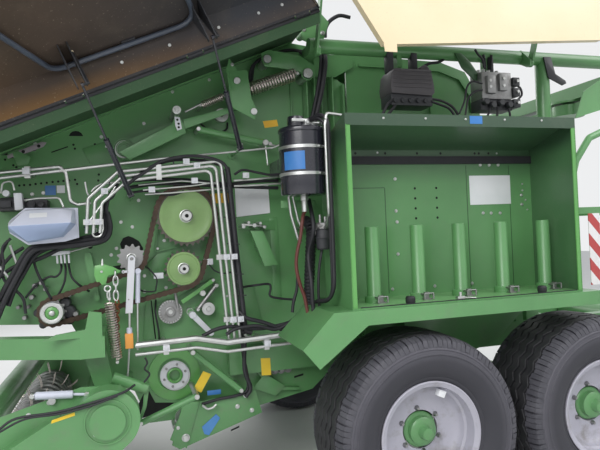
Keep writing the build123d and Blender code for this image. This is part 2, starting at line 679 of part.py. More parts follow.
def lid_arms(raised):
    (py, pz), (ey, ez) = lid_arm_line()
    if not raised:
        ez -= LID_LIFT
    solids = []
    w = 22.0
    uy, uz = (ey - py) / LID_ARM * w, (ez - pz) / LID_ARM * w
    for x0, x1 in lid_arm_spans():
        bar = section([(py - uz, pz + uy), (py + uz, pz - uy), (ey + uz, ez - uy), (ey - uz, ez + uy)], x0, x1)
        arm = fuse(bar, across(x0, x1, py, pz, 26), across(x0, x1, ey, ez, 26))
        arm -= across(x0, x1, py, pz, LID_PIN_R + FIT_GAP)
        arm -= across(x0, x1, ey, ez, LID_PIN_R + FIT_GAP)
        solids.append(arm)
    return solids


def lid(raised):
    """The film box's cover, hollow towards the box, with a lug and pin for each arm."""
    (_, _), (ey, ez) = lid_arm_line()
    base = LID_LIFT if raised else 0.0
    ez += base - LID_LIFT
    y_in, y_out = BOX_Y[1] + LID_GAP, LID_OUT_Y
    x0, x1 = BOX_X[0] - 24, BOX_X[1] + LID_TAIL
    t = LID_SHEET
    z0 = BOX_Z[0] + 20 + base
    z1 = BOX_Z[1] + 110 + base
    rim = [(y_in, z0), (y_out, z0), (y_out, z1 - 130), (y_out - 90, z1), (y_out - LID_RETURN, z1),
           (y_out - LID_RETURN, z1 - 30), (y_out - 110, z1 - 30), (y_in, z1 - 100)]
    hollow = [(y_in - 1, z0 + t), (y_out - t, z0 + t), (y_out - t, z1 - 132), (y_out - 92, z1 - t),
              (y_out - LID_RETURN - 1, z1 - t), (y_out - LID_RETURN - 1, z1 - 31), (y_out - 111, z1 - 31),
              (y_in - 1, z1 - 101)]
    dx, dz = LID_SLANT
    z_front, z_rear = z0 + LID_RISE[0], z0 + LID_RISE[1]
    outline = make_face(Polyline((x0 + dx, z_front), (x1, z_rear), (x1, z1), (x0, z1), (x0, z0 + dz), close=True))
    far = Plane.XZ.offset(-2000)
    shell = section(rim, x0, x1) & extrude(far * outline, amount=2000)
    shell -= section(hollow, x0, x1) & extrude(far * offset(outline, amount=-t), amount=2000)
    tab_w, tab_drop = LID_TAB
    shell += plate([(x0 + dx, z_front - tab_drop), (x0 + dx + tab_w, z_front - tab_drop),
                    (x0 + dx + tab_w, z_front + t), (x0 + dx - t, z_front + t)], y_out - t, y_out)
    for (xa, xb), inward in zip(lid_arm_spans(), (1, -1)):
        plate_x = xa - 10 if inward > 0 else xb + 2
        lug = section([(ey - 24, ez - 24), (y_out - t, ez - 60), (y_out - t, ez + 60), (ey - 24, ez + 24)],
                      plate_x, plate_x + 8)
        shell += lug
        pin_x = (plate_x + 8, xb) if inward > 0 else (xa, plate_x)
        shell += across(*pin_x, ey, ez, LID_PIN_R)
    return shell


def spoked(x, z, count, corners, y0, y1):
    """A toothed plate: the corners of one tooth, as share of a turn and radius, repeated round an axis."""
    points = []
    for i in range(count):
        for share, radius in corners:
            a = 2 * math.pi * (i + share) / count
            points.append((x + radius * math.cos(a), z + radius * math.sin(a)))
    return plate(points, y0, y1)


def sprockets():
    solids = []
    y0, y1 = -CHAIN_Y - CHAIN_HALF + 3, -CHAIN_Y + CHAIN_HALF - 3
    for x, z, radius in SPROCKETS.values():
        root = radius - TOOTH_DEPTH
        teeth = round(2 * math.pi * radius / CHAIN_PITCH)
        wheel = spoked(x, z, teeth, [(-0.32, root), (-0.12, radius), (0.12, radius), (0.32, root)], y0, y1)
        wheel += drum(x, z, radius * 0.38, y0 - 14, y1 + 14)
        wheel += drum(x, z, min(24, radius * 0.3), y0 - 34, -WALL_Y[1])
        solids.append(wheel)
    return solids


def tangent(a, b, side_a, side_b):
    """Tangent points of a line from circle a to circle b; +1 keeps the circle on the line's right."""
    (xa, za, ra), (xb, zb, rb) = a, b
    dx, dz = xb - xa, zb - za
    dist = math.hypot(dx, dz)
    base = math.atan2(dz, dx)
    turn = math.asin((side_a * ra - side_b * rb) / dist)
    normal = base + math.pi / 2 - turn
    pa = (xa + side_a * ra * math.cos(normal), za + side_a * ra * math.sin(normal))
    pb = (xb + side_b * rb * math.cos(normal), zb + side_b * rb * math.sin(normal))
    return pa, pb


def drive_chain():
    """The roller chain as one closed band along its route."""
    order = [("input", 1), ("idler", -1), ("pressing", 1), ("reversing", 1)]
    circles = []
    for name, side in order:
        x, z, radius = SPROCKETS[name]
        circles.append(((x, z, radius + 8.0), side))
    edges = []
    count = len(circles)
    points = []
    for i in range(count):
        (a, sa), (b, sb) = circles[i], circles[(i + 1) % count]
        points.append(tangent(a, b, sa, sb))
    for i in range(count):
        edges.append(Line(points[i][0], points[i][1]))
        (cx, cz, radius), side = circles[(i + 1) % count]
        start, end = points[i][1], points[(i + 1) % count][0]
        a0 = math.atan2(start[1] - cz, start[0] - cx)
        a1 = math.atan2(end[1] - cz, end[0] - cx)
        sweep_angle = (a1 - a0) % (2 * math.pi)
        if side > 0:
            sweep_angle -= 2 * math.pi
        mid = a0 + sweep_angle / 2
        edges.append(ThreePointArc(start, (cx + radius * math.cos(mid), cz + radius * math.sin(mid)), end))
    route = Plane.XZ.offset(CHAIN_Y) * Wire(edges)
    start = route @ 0
    along_route = route % 0
    band = Plane(origin=start, z_dir=along_route, x_dir=(0, 1, 0)) * Rectangle(2 * CHAIN_HALF + 12, 15)
    return [sweep(band, path=route)]


def gearbox():
    """The split gearbox, its input stub and the cross shaft to the chain's first wheel."""
    x, z, _ = SPROCKETS["input"]
    case = block(x - 150, x + 110, -150, 150, z - 106, z + 140)
    stub = Pos(x - 220, 0, z) * Rot(0, 90, 0) * Cylinder(17.5, 140)
    neck = Pos(x - 170, 0, z) * Rot(0, 90, 0) * Cylinder(50, 40)
    shaft = drum(x, z, 45, -WALL_Y[0], WALL_Y[0])
    return [fuse(case, stub, neck, shaft)]


def bearings():
    """Bearing rings and small rollers on the left wall: x, z, outer radius, bore radius, depth."""
    rows = [
        (*ROTOR_AXIS, 83, ROTOR_SHAFT_R + FIT_GAP, 22), (2146, 574, 44, 20, 16), (2097, 1192, 67, 12, 40),
        (2314, 1195, 37, 12, 60), (2440, 2340, 40, 12, 40), (1874, 2130, 50, 16, 60),
        (2209, 1185, 20, 8, 42), (2719, 2660, 25, 12, 60), (1660, 1535, 20, 8, 30),
    ]
    rings = [drum(x, z, r, -WALL_Y[1] - d, -WALL_Y[1]) - drum(x, z, b, -WALL_Y[1] - d, -WALL_Y[1])
             for x, z, r, b, d in rows]
    return [*rings, mirrored(rings[0])]


def tensioners():
    """Tension arms and their links on the left wall: ends, width, thickness and distance from the wall."""
    rows = [
        ((1874, 2130), (2176, 2270), 74, 24, 60), ((2209, 1185), (2308, 1079), 34, 10, 42),
        ((2719, 2660), (2895, 2655), 50, 20, 60), ((1660, 1535), (1700, 1300), 40, 12, 30),
    ]
    solids = []
    for (xa, za), (xb, zb), width, thick, off in rows:
        length = math.hypot(xb - xa, zb - za)
        nx, nz = -(zb - za) / length * width / 2, (xb - xa) / length * width / 2
        y1 = -WALL_Y[1] - off
        bar = plate([(xa + nx, za + nz), (xb + nx * 0.7, zb + nz * 0.7), (xb - nx * 0.7, zb - nz * 0.7),
                     (xa - nx, za - nz)], y1 - thick, y1)
        bar += drum(xa, za, width / 2, y1 - thick, y1)
        bar += drum(xb, zb, width * 0.35, y1 - thick, y1)
        solids.append(bar)
    return solids


def springs():
    """Tension springs on pegs beside the wall: ends, radius and Y."""
    rows = [((1772, 1315), (1800, 985), 20, -950), ((2578, 2468), (2890, 2577), 34, -800),
            ((2305, 2373), (2446, 2435), 12, -780)]
    solids = []
    for (xa, za), (xb, zb), r, y in rows:
        coil = rod((xa, y, za), (xb, y, zb), r)
        solids.append(fuse(coil, drum(xa, za, r * 0.7, y, -WALL_Y[1]), drum(xb, zb, r * 0.7, y, -WALL_Y[1])))
    return solids


def oil_tank():
    """A standing can with two bands, held on a bracket."""
    x, y, z0, z1, r = 2792.0, -1150.0, 1816.0, 2182.0, 126.0
    can = post(x, y, r, z0, z1)
    for z in (z0 + 110, z1 - 110):
        can += post(x, y, r + 4, z - 12, z + 12)
    cap = post(x, y, 45, z1, z1 + 60)
    nozzle = post(x, y, 18, z0 - 90, z0)
    bracket = block(x - 60, x + 60, y + r - 20, -WALL_Y[1], 1950, 2050)
    return [fuse(can, cap, nozzle, bracket)]


def valve_blocks():
    """The valve block and the ribbed cover that hang from the left upper tube."""
    return [block(x0, x1, *HUNG_Y, z0, z1) for x0, x1, z0, z1 in HUNG]


def control_cover():
    """The moulded cover over the controls on the left."""
    rim = make_face(Polyline((1290, 1690), (1297, 1740), (1373, 1800), (1550, 1806), (1625, 1790), (1631, 1660),
                             (1554, 1632), (1382, 1606), close=True))
    base = extrude(Plane.XZ.offset(COVER_Y[0]) * rim, amount=30)
    cap = extrude(Plane.XZ.offset(COVER_Y[0] + 30) * rim, amount=COVER_Y[1] - COVER_Y[0] - 30, taper=22)
    foot = block(1420, 1560, -COVER_Y[0], -WALL_Y[1], 1650, 1740)
    return [fuse(base, cap, foot)]


def clip(x0, x1, z0, z1, y):
    """A clip block round pipes, on a peg to the left wall."""
    middle = ((x0 + x1) / 2, (z0 + z1) / 2)
    return block(x0, x1, -y - CLIP_HALF, -y + CLIP_HALF, z0, z1) + drum(*middle, CLIP_HALF - 2, -y, -WALL_Y[1])


def at_depth(route, y):
    return [(x, -y, z) for x, z in route]


def rigid_pipes():
    """Steel pipes clipped along the left wall, each group on its own clips."""
    upper = pipe(at_depth([(1080, 1972), (1545, 2018), (1575, 1985), (1592, 1835), (1625, 1815), (1695, 1823)],
                          PIPE_Y), PIPE_R, 22)
    straight = rod((1080, -PIPE_Y, 1941), (2110, -PIPE_Y, 2062), PIPE_R)
    pair = fuse(upper, straight, clip(1376, 1404, 1958, 2018, PIPE_Y))
    bundle = []
    for k in range(3):
        run = [(1668 + 34 * k, 1660), (1682 + 34 * k, 1845 - 14 * k), (1838 + 24 * k, 1984 - 24 * k),
               (2392 - 30 * k, 2040 - 26 * k), (2462 - 32 * k, 1040)]
        bundle.append(pipe(at_depth(run, PIPE_Y + 40), PIPE_R, 34))
    clips = [(1655, 1755, 1705, 1733), (2036, 2064, 1938, 2020), (2345, 2450, 1486, 1514), (2372, 2474, 1136, 1164)]
    bundle += [clip(*place, PIPE_Y + 40) for place in clips]
    low = [pipe(at_depth([(1892, z), (2210, z + 8), (2380, z - 31), (2790, z - 16), (2900, z + 19)], LOW_PIPE_Y),
                PIPE_R, 60) for z in (1056, 1010)]
    low += [clip(x - CLIP_HALF, x + CLIP_HALF, z - 62, z + 14, LOW_PIPE_Y) for x, z in ((2050, 1060), (2600, 1032))]
    return [pair, fuse(*bundle), fuse(*low)]


def wall_brackets():
    """Bracket plates on the left wall: corners, distance out, thickness and the pegs that carry them."""
    rows = [
        ([(2070, 466), (2133, 680), (2553, 714), (2589, 582), (2113, 437)], 800, 8, [(2200, 620), (2480, 640)]),
        ([(2562, 1650), (2716, 1640), (2716, 1432), (2562, 1432)], 800, 8, [(2640, 1540)]),
        ([(2460, 2556), (2571, 2572), (2607, 2282), (2481, 2349)], 845, 8, [(2525, 2395)]),
        ([(1700, 1503), (1888, 1440), (1870, 1425), (1790, 1398), (1722, 1430)], 922, 10, [(1775, 1478)]),
        ([(1276, 2108), (1476, 2126), (1413, 2072), (1280, 2046)], 700, 8, [(1340, 2082)]),
    ]
    solids = []
    for corners, y, thick, pegs in rows:
        solids.append(fuse(plate(corners, -y - thick, -y), *(drum(x, z, 14, -y, -WALL_Y[1]) for x, z in pegs)))
    for x0, x1, z1 in ((2962, 3030, 2655), (3130, 3222, 2590)):
        folded = block(x0, x1, -750, -WALL_Y[1], 2250, z1) - block(x0 + 6, x1 - 6, -744, -WALL_Y[1], 2250, z1)
        solids.append(folded)
    return solids


def indicator():
    """The flat indicator bar on the idler's shaft, with the thin rod beside it."""
    x, z, _ = SPROCKETS["idler"]
    end = -CHAIN_Y - CHAIN_HALF + 3 - 34
    bar = plate([(x - 18, z), (x + 18, z), (x - 6, z - 288), (x - 42, z - 288)], -906, -900)
    bar += drum(x, z, 18, -906, -900)
    bar += drum(x, z, 12, -900, end)
    return [bar]


def side_guards():
    """A beam behind each film box, with a bent tube, a sloping guard plate and a marker board."""
    y0, y1 = GUARD_Y - 20, GUARD_Y + 20
    guard = block(BOX_X[1], GUARD_REAR_X, y0, y1, *GUARD_BEAM)
    guard += pipe([(4500, GUARD_Y, GUARD_BEAM[1] - 5), (4595, GUARD_Y, 2000), (4707, GUARD_Y, 2144), (4850, GUARD_Y, 2200),
                   (4850, GUARD_Y, 2420)], 22, 50)
    guard += plate([(4610, 2270), (4680, 2440), (4820, 2522), (GUARD_REAR_X, 2522), (GUARD_REAR_X, 2350)],
                   GUARD_Y - 4, GUARD_Y + 4)
    board = block(*BOARD_X, BOARD_Y - 5, BOARD_Y, *BOARD_Z)
    board += block(BOARD_X[0] + 20, BOARD_X[1] - 20, y1, BOARD_Y, BOARD_Z[1] - 10, BOARD_Z[1])
    return both(guard + board)


def portal():
    """The upper tubes, their posts and the cross beam that carries the wrapping head."""
    tube = Pos((PORTAL_X0 + WRAP_X) / 2, PORTAL_Y, PORTAL_Z) * Rot(0, 90, 0) * Cylinder(PORTAL_R, WRAP_X - PORTAL_X0)
    tube += post(PORTAL_POST_X, PORTAL_Y, 45, BOX_Z[0] - 5, PORTAL_Z)
    foot = block(PORTAL_X0 + 20, PORTAL_X0 + 80, WALL_Y[1], PORTAL_Y, PORTAL_Z - 30, PORTAL_Z + 30)
    y, z = LID_PIVOT
    for (xa, xb), side in zip(lid_arm_spans(), (1, -1)):
        plate_x = xb + 2 if side > 0 else xa - 14
        lug = section([(PORTAL_Y - 20, PORTAL_Z - 30), (PORTAL_Y + 20, PORTAL_Z + 42), (y + 24, z + 16),
                       (y + 20, z - 22), (y - 16, z - 22)], plate_x, plate_x + 12)
        pin = across(xa, plate_x, y, z, LID_PIN_R) if side > 0 else across(plate_x + 12, xb, y, z, LID_PIN_R)
        tube = fuse(tube, lug, pin)
    sides = both(tube + foot)
    hangers = [block(x0 + 100, x0 + 130, -PORTAL_Y - 30, -PORTAL_Y + 30, z1, PORTAL_Z - PORTAL_R / 2)
               for x0, _, _, z1 in HUNG]
    cross = block(WRAP_X - 70, WRAP_X + 70, -PORTAL_Y - 60, PORTAL_Y + 60, PORTAL_Z - 50, PORTAL_Z + 60)
    hub = post(WRAP_X, 0, 150, PORTAL_Z - 64, PORTAL_Z - 50)
    pin = post(WRAP_X, 0, 50, ARM_BEAM_Z[0] + 10, PORTAL_Z - 60)
    return [fuse(cross, *sides, *hangers, hub, pin)]


def half_turn(solid):
    """A piece of the right wrapping arm, turned to the left one."""
    return Pos(WRAP_X, 0, 0) * Rot(0, 0, 180) * Pos(-WRAP_X, 0, 0) * solid


def wrapper_arms():
    z0, z1 = ARM_BEAM_Z
    beam = block(WRAP_X - ARM_HALF, WRAP_X + ARM_HALF, -ARM_R - 45, ARM_R + 45, z0, z1)
    beam += post(WRAP_X, 0, 130, z0, z1)
    beam -= post(WRAP_X, 0, 50 + FIT_GAP, z0 + 10 - FIT_GAP, z1)
    legs = both(block(WRAP_X - 45, WRAP_X + 45, ARM_R - 45, ARM_R + 45, ARM_FOOT_Z, z0))
    tray = block(WRAP_X - 45, WRAP_X + 320, ARM_R - 45, ARM_R + 45, ARM_FOOT_Z - 20, ARM_FOOT_Z + 10)
    return [fuse(beam, *legs, tray, half_turn(tray))]


def film_dispensers():
    """A film roll on its spindle and two stretch rollers, on each arm."""
    z0 = ARM_FOOT_Z + 10
    right = [post(WRAP_X + 180, ARM_R - 10, FILM_R, z0, z0 + FILM_H),
             post(WRAP_X + 75, ARM_R - 20, 24, z0, z0 + FILM_H)]
    return right + [half_turn(solid) for solid in right]


def wrap_table():
    """Two cheeks and two cross tubes that carry the bale rollers."""
    z = TABLE_Z
    cheek = plate([(WRAP_X - 480, z - 70), (WRAP_X - 480, z + 40), (WRAP_X - 300, z + 60), (WRAP_X + 300, z + 60),
                   (WRAP_X + 480, z + 40), (WRAP_X + 480, z - 165), (WRAP_X, z - 165)], 612, 632)
    for dx in (-TABLE_ROLLER_DX, TABLE_ROLLER_DX):
        cheek -= drum(WRAP_X + dx, z, 25 + FIT_GAP, 612, 632)
    cheek += drum(*TABLE_HINGE, TABLE_PIN_R, 632, RAIL_Y[0] + TABLE_LUG_T)
    tubes = [drum(WRAP_X - 160, z - 110, 35, -612, 612), drum(WRAP_X + 160, z - 110, 35, -612, 612)]
    return [fuse(tubes[0], *both(cheek), tubes[1])]


def table_roller(side):
    x = WRAP_X + side * TABLE_ROLLER_DX
    roller = drum(x, TABLE_Z, TABLE_ROLLER_R, -590, 590)
    return [roller + drum(x, TABLE_Z, 25, -640, 640)]


def rear_lamps():
    """Lamp boards and marker plates on the rear corners."""
    board = block(RAIL_X[1] + 20, RAIL_X[1] + 40, 760, 1240, 560, 700)
    arm = block(RAIL_X[1] - 60, RAIL_X[1], RAIL_Y[1], 1000, 590, 650)
    arm += block(RAIL_X[1] - 20, RAIL_X[1] + 20, 900, 1000, 590, 650)
    lamp = block(RAIL_X[1] + 40, RAIL_X[1] + 85, 960, 1200, 590, 670)
    bumper = block(RAIL_X[1], REAR_X, 300, 380, RAIL_Z[0] - 300, RAIL_Z[0] - 240)
    return both(fuse(board, arm, lamp), bumper)


def feed_rotor():
    x, z = ROTOR_AXIS
    body = drum(x, z, 90, -625, 625) + drum(x, z, ROTOR_SHAFT_R, -WALL_Y[1] - 18, WALL_Y[1] + 18)
    for i in range(ROTOR_STARS):
        y = -560 + 1120 * i / (ROTOR_STARS - 1)
        turn = i * 0.28
        corners = [(turn - 0.34, 112), (turn - 0.06, ROTOR_R), (turn + 0.02, ROTOR_R), (turn + 0.2, 112)]
        body += spoked(x, z, 5, corners, y - 12, y + 12)
    return [body]


def pickup_frame():
    """Side shields, cross tubes and the crop roller of the pick-up."""
    px, pz = PICKUP_PIVOT
    rx, rz = REEL_AXIS
    shield = plate([(px + 130, pz + 60), (px + 60, pz + 140), (px - 120, pz + 150), (rx - 150, rz + 330),
                    (rx - 260, rz + 120), (rx - 230, rz - 130), (rx - 60, rz - 250), (rx + 120, rz - 230),
                    (px + 100, pz - 120)], PICKUP_HALF, PICKUP_HALF + SHIELD_T)
    rounds = Pos(px, pz) * Circle(COVER_R[0]) + Pos(rx, rz) * Circle(COVER_R[1])
    cover = extrude(Plane.XZ.offset(-PICKUP_HALF - PICKUP_COVER_T) * make_hull(rounds.edges()),
                    amount=PICKUP_COVER_T - SHIELD_T)
    cover += drum(px, pz, COVER_R[0] * 0.55, PICKUP_HALF + PICKUP_COVER_T, PICKUP_HALF + PICKUP_COVER_T + 14)
    outer = PICKUP_HALF + PICKUP_COVER_T
    gx, gz = GAUGE_AXIS
    bracket = block(gx - 40, gx + 40, outer, outer + 15, gz - 90, gz + 130)
    stub = drum(*GAUGE_AXIS, 16, outer + 15, GAUGE_Y[1] - 20)
    pivot = drum(px, pz, 60, HANGER_Y[1] + 6, PICKUP_HALF)
    pivot -= drum(px, pz, PICKUP_PIN_R + FIT_GAP, HANGER_Y[1] + 6, PICKUP_HALF - 34)
    sides = both(fuse(shield, cover, bracket, stub, pivot))
    tubes = [drum(rx + 330, rz + 40, 45, -PICKUP_HALF, PICKUP_HALF),
             drum(rx - 60, rz + 330, 70, -PICKUP_HALF, PICKUP_HALF)]
    core = drum(*REEL_AXIS, 30, PICKUP_HALF - 8, PICKUP_HALF)
    return [fuse(tubes[0], tubes[1], *sides, *both(core))]


def pickup_reel():
    """The tined reel: a strip-covered drum with rows of tines."""
    x, z = REEL_AXIS
    body = drum(x, z, REEL_CORE_R, -PICKUP_HALF + 14, PICKUP_HALF - 14)
    body += drum(x, z, 25, -PICKUP_HALF + 8 + FIT_GAP, PICKUP_HALF - 8 - FIT_GAP)
    y_end = PICKUP_HALF - 55
    for i in range(TINE_COUNT):
        y = -y_end + 2 * y_end * i / (TINE_COUNT - 1)
        for k in range(4):
            a = 90 * k + 22.5 * (i % 4)
            length = TINE_TIP_R - REEL_CORE_R + 10
            body += Pos(x, y, z) * Rot(0, a, 0) * Pos(REEL_CORE_R - 10 + length / 2, 0, 0) * Box(length, 12, 12)
    return [body]


def gauge_wheel():
    y0, y1 = GAUGE_Y
    profile = [(16 + FIT_GAP, y0 + 20), (120, y0 + 30), (130, y0), (GAUGE_R - 14, y0 + 6), (GAUGE_R, y0 + 34),
               (GAUGE_R, y1 - 34), (GAUGE_R - 14, y1 - 6), (130, y1), (120, y1 - 40), (0, y1 - 10), (0, y1 - 18),
               (16 + FIT_GAP, y1 - 18)]
    return turned(profile, *GAUGE_AXIS)


def nodes():
    """Each node's name with its solids."""
    parts = {
        "chassis_frame": chassis(), "drawbar": drawbar(), "towing_eye": towing_eye(), "jack_leg": jack_leg(),
        "bogie_axle": bogie(), "side_walls": side_walls(), "lift_brackets": lift_brackets(),
        "slat_conveyor_front": slat_ring(100, 262, SLAT_COUNT),
        "tailgate": tailgate(), "slat_conveyor_rear": slat_ring(-78, 80, SLAT_COUNT),
        "lift_barrels": lift_barrels(), "lift_rods": lift_rods(),
        "roof_cover": roof(), "front_cover": front_cover(),
        "film_boxes": film_boxes(), "roll_spigots": roll_spigots(), "mudguards": mudguards(),
        "sprockets": sprockets(), "drive_chain": drive_chain(), "gearbox": gearbox(),
        "bearing_rings": bearings(), "tension_arms": tensioners(), "tension_springs": springs(),
        "oil_tank": oil_tank(), "valve_blocks": valve_blocks(), "control_cover": control_cover(),
        "rigid_pipes": rigid_pipes(), "wall_brackets": wall_brackets(), "indicator_bar": indicator(),
        "portal_frame": portal(), "side_guards": side_guards(), "rear_lamps": rear_lamps(),
        "wrapper_arms": wrapper_arms(), "film_dispensers": film_dispensers(), "wrap_table": wrap_table(),
        "table_roller_front": table_roller(-1), "table_roller_rear": table_roller(1),
        "feed_rotor": feed_rotor(), "pickup_frame": pickup_frame(), "pickup_reel": pickup_reel(),
    }
    for side, turn, raised in (("left", HOOD_OPEN, True), ("right", 0.0, False)):
        flip = mirrored if side == "left" else (lambda solid: solid)
        parts["hood_" + side] = [flip(hood(turn))]
        parts["strut_barrels_" + side] = [flip(s) for s in strut_barrels(turn)]
        parts["strut_rods_" + side] = [flip(s) for s in strut_rods(turn)]
        parts["lid_" + side] = [flip(lid(raised))]
        parts["lid_arms_" + side] = [flip(s) for s in lid_arms(raised)]
        parts["gauge_wheel_" + side] = [flip(gauge_wheel())]
        for end, x in (("front", AXLE_FRONT_X), ("rear", AXLE_FRONT_X + WHEELBASE)):
            parts[f"tyre_{end}_{side}"] = [flip(tyre(x))]
            parts[f"rim_{end}_{side}"] = [flip(rim(x))]
    return parts


def write_parts():
    os.makedirs("parts", exist_ok=True)
    for name, solids in nodes().items():
        shape = solids[0] if len(solids) == 1 else Compound(solids)
        export_step(shape, f"parts/{name}.step")


write_parts()
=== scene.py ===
import bpy
import bmesh
import json
import math
from mathutils import Matrix, Vector


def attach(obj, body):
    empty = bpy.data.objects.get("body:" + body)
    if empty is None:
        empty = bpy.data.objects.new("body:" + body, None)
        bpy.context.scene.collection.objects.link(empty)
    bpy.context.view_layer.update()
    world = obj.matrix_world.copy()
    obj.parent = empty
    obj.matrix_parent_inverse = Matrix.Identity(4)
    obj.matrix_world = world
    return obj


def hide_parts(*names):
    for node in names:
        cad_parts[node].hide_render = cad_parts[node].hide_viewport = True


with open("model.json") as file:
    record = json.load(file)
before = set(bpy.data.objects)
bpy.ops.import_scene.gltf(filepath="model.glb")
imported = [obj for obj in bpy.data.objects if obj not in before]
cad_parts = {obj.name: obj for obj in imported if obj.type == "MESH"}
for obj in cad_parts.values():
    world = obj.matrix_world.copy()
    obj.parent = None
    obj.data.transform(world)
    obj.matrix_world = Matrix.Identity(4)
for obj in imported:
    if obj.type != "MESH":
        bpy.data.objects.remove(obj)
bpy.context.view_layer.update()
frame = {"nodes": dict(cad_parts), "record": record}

# Sizes and places in millimetres: X runs to the machine's rear, and its left side has negative Y.
MM = 0.001
WALL_Y = -655.0
TYRE_R = 529.0
WHEEL_Y = 1210.0
AXLES = (3350.0, 4480.0)
FILM_BOX_X = (2945.0, 4370.0)
BOX_BACK_Y = -1006.0
BOX_LIP_Y = 1400.0
BOX_FLOOR_Z = 1221.0
SPIGOTS = (3154.0, 3429.0, 3698.0, 3981.0, 4279.0)
SPIGOT_Y = 1200.0
HINGE_A = Vector((950.0, 0.0, 1999.0))
HINGE_B = Vector((2910.0, 0.0, 2822.0))
HINGE_Y = 1200.0
HOOD_BRACKETS = (818.0, 1467.0)

# Shafts that run across the machine, by X and Z.
INPUT_AXIS = (1478.0, 1248.0)
IDLER_AXIS = (1891.0, 1516.0)
PRESSING_AXIS = (2200.0, 1740.0)
REVERSING_AXIS = (2175.0, 1441.0)
TENSION_AXIS = (2097.0, 1192.0)
ROTOR_AXIS = (2108.0, 825.0)
REEL_AXIS = (1250.0, 430.0)
PICKUP_PIVOT = (1751.0, 756.0)

# The photograph's camera, in metres and degrees.
CAMERA_AT = (1.8565, -4.1149, 1.6140)
CAMERA_YAW, CAMERA_PITCH, CAMERA_ROLL = 16.9755, 0.8268, -2.3847
CAMERA_LENS = 34.643


def across(axis):
    """The middle of a shaft that runs across the machine."""
    x, z = axis
    return (x, 0.0, z)


# Shading.
class Value:
    """A socket that can stand in a sum."""

    def __init__(self, shader, socket):
        self.shader = shader
        self.socket = socket

    def maths(self, operation, a, b=None):
        inputs = {0: a} if b is None else {0: a, 1: b}
        node = self.shader.node("ShaderNodeMath", {"operation": operation}, inputs)
        return Value(self.shader, node.outputs[0])

    def __add__(self, other):
        return self.maths("ADD", self, other)

    def __radd__(self, other):
        return self.maths("ADD", other, self)

    def __sub__(self, other):
        return self.maths("SUBTRACT", self, other)

    def __rsub__(self, other):
        return self.maths("SUBTRACT", other, self)

    def __mul__(self, other):
        return self.maths("MULTIPLY", self, other)

    def __rmul__(self, other):
        return self.maths("MULTIPLY", other, self)

    def over(self, level):
        return self.maths("GREATER_THAN", self, level)

    def under(self, level):
        return self.maths("LESS_THAN", self, level)

    def ramp(self, low, high):
        node = self.shader.node("ShaderNodeMapRange", {"clamp": True}, {0: self, 1: low, 2: high, 3: 0.0, 4: 1.0})
        return Value(self.shader, node.outputs[0])


class Shader:
    """A material with one principled surface."""

    def __init__(self, name, **constants):
        self.material = bpy.data.materials.new(name)
        self.material.use_nodes = True
        self.tree = self.material.node_tree
        self.surface = next(n for n in self.tree.nodes if n.type == "BSDF_PRINCIPLED")
        place = self.tree.nodes.new("ShaderNodeTexCoord")
        self.place = Value(self, place.outputs["Object"])
        for socket, value in constants.items():
            self.surface.inputs[socket.replace("_", " ")].default_value = value

    def node(self, kind, settings, inputs):
        node = self.tree.nodes.new(kind)
        for key, value in settings.items():
            setattr(node, key, value)
        for key, value in inputs.items():
            self.feed(node.inputs[key], value)
        return node

    def feed(self, socket, value):
        if isinstance(value, Value):
            self.tree.links.new(value.socket, socket)
        elif isinstance(value, tuple) and socket.type == "RGBA" and len(value) == 3:
            socket.default_value = (*value, 1.0)
        else:
            socket.default_value = value

    def set(self, socket, value):
        self.feed(self.surface.inputs[socket], value)

    def along(self, axis):
        node = self.node("ShaderNodeSeparateXYZ", {}, {0: self.place})
        return Value(self, node.outputs["XYZ".index(axis)])

    def noise(self, scale, detail=3.0, roughness=0.55):
        node = self.node("ShaderNodeTexNoise", {}, {
            "Vector": self.place, "Scale": scale, "Detail": detail, "Roughness": roughness})
        return Value(self, node.outputs["Fac"])

    def mix(self, share, first, second):
        node = self.node("ShaderNodeMix", {"data_type": "RGBA"}, {0: share, 6: first, 7: second})
        return Value(self, node.outputs[2])

    def bump(self, height, strength, distance=0.001):
        node = self.node("ShaderNodeBump", {}, {"Height": height, "Strength": strength, "Distance": distance})
        self.set("Normal", Value(self, node.outputs[0]))

    def dot(self, direction, of=None):
        node = self.node("ShaderNodeVectorMath", {"operation": "DOT_PRODUCT"}, {0: of or self.place, 1: direction})
        return Value(self, node.outputs["Value"])

    def facing(self, direction):
        """One where the surface faces a direction of the object's own frame, falling to minus one."""
        place = self.node("ShaderNodeTexCoord", {}, {})
        return self.dot(direction, Value(self, place.outputs["Normal"]))


def paint(name, colour, shade, grime, roughness=0.36, coat=0.35, grime_level=0.5, zones=None, **constants):
    """Sprayed paint with an uneven tone, dust in patches and road dirt low down."""
    s = Shader(name, Coat_Roughness=0.18, **constants)
    s.dull = None
    tone = s.noise(1.7, 4.0).ramp(0.35, 0.7)
    base = s.mix(tone, colour, shade)
    if zones:
        base = zones(s, base)
    patches = s.noise(9.0, 6.0, 0.65).ramp(0.52, 0.74)
    low = 1.0 - s.along("Z").ramp(0.15, 1.5)
    dirt = patches * (0.25 + low) * grime_level
    dirt = dirt.maths("MINIMUM", dirt, 1.0)
    specks = s.noise(95.0, 2.0).ramp(0.66, 0.72) * 0.22
    s.set("Base Color", s.mix(specks, s.mix(dirt, base, grime), grime))
    matt = roughness + dirt * 0.35 + s.noise(24.0, 3.0) * 0.08
    gloss = (1.0 - dirt) * coat
    s.set("Roughness", matt + s.dull * 0.34 if s.dull else matt)
    s.set("Coat Weight", gloss * (1.0 - s.dull) if s.dull else gloss)
    s.bump(s.noise(210.0, 2.0) * 0.25 + dirt * s.noise(60.0), 0.16, 0.0015)
    return s.material


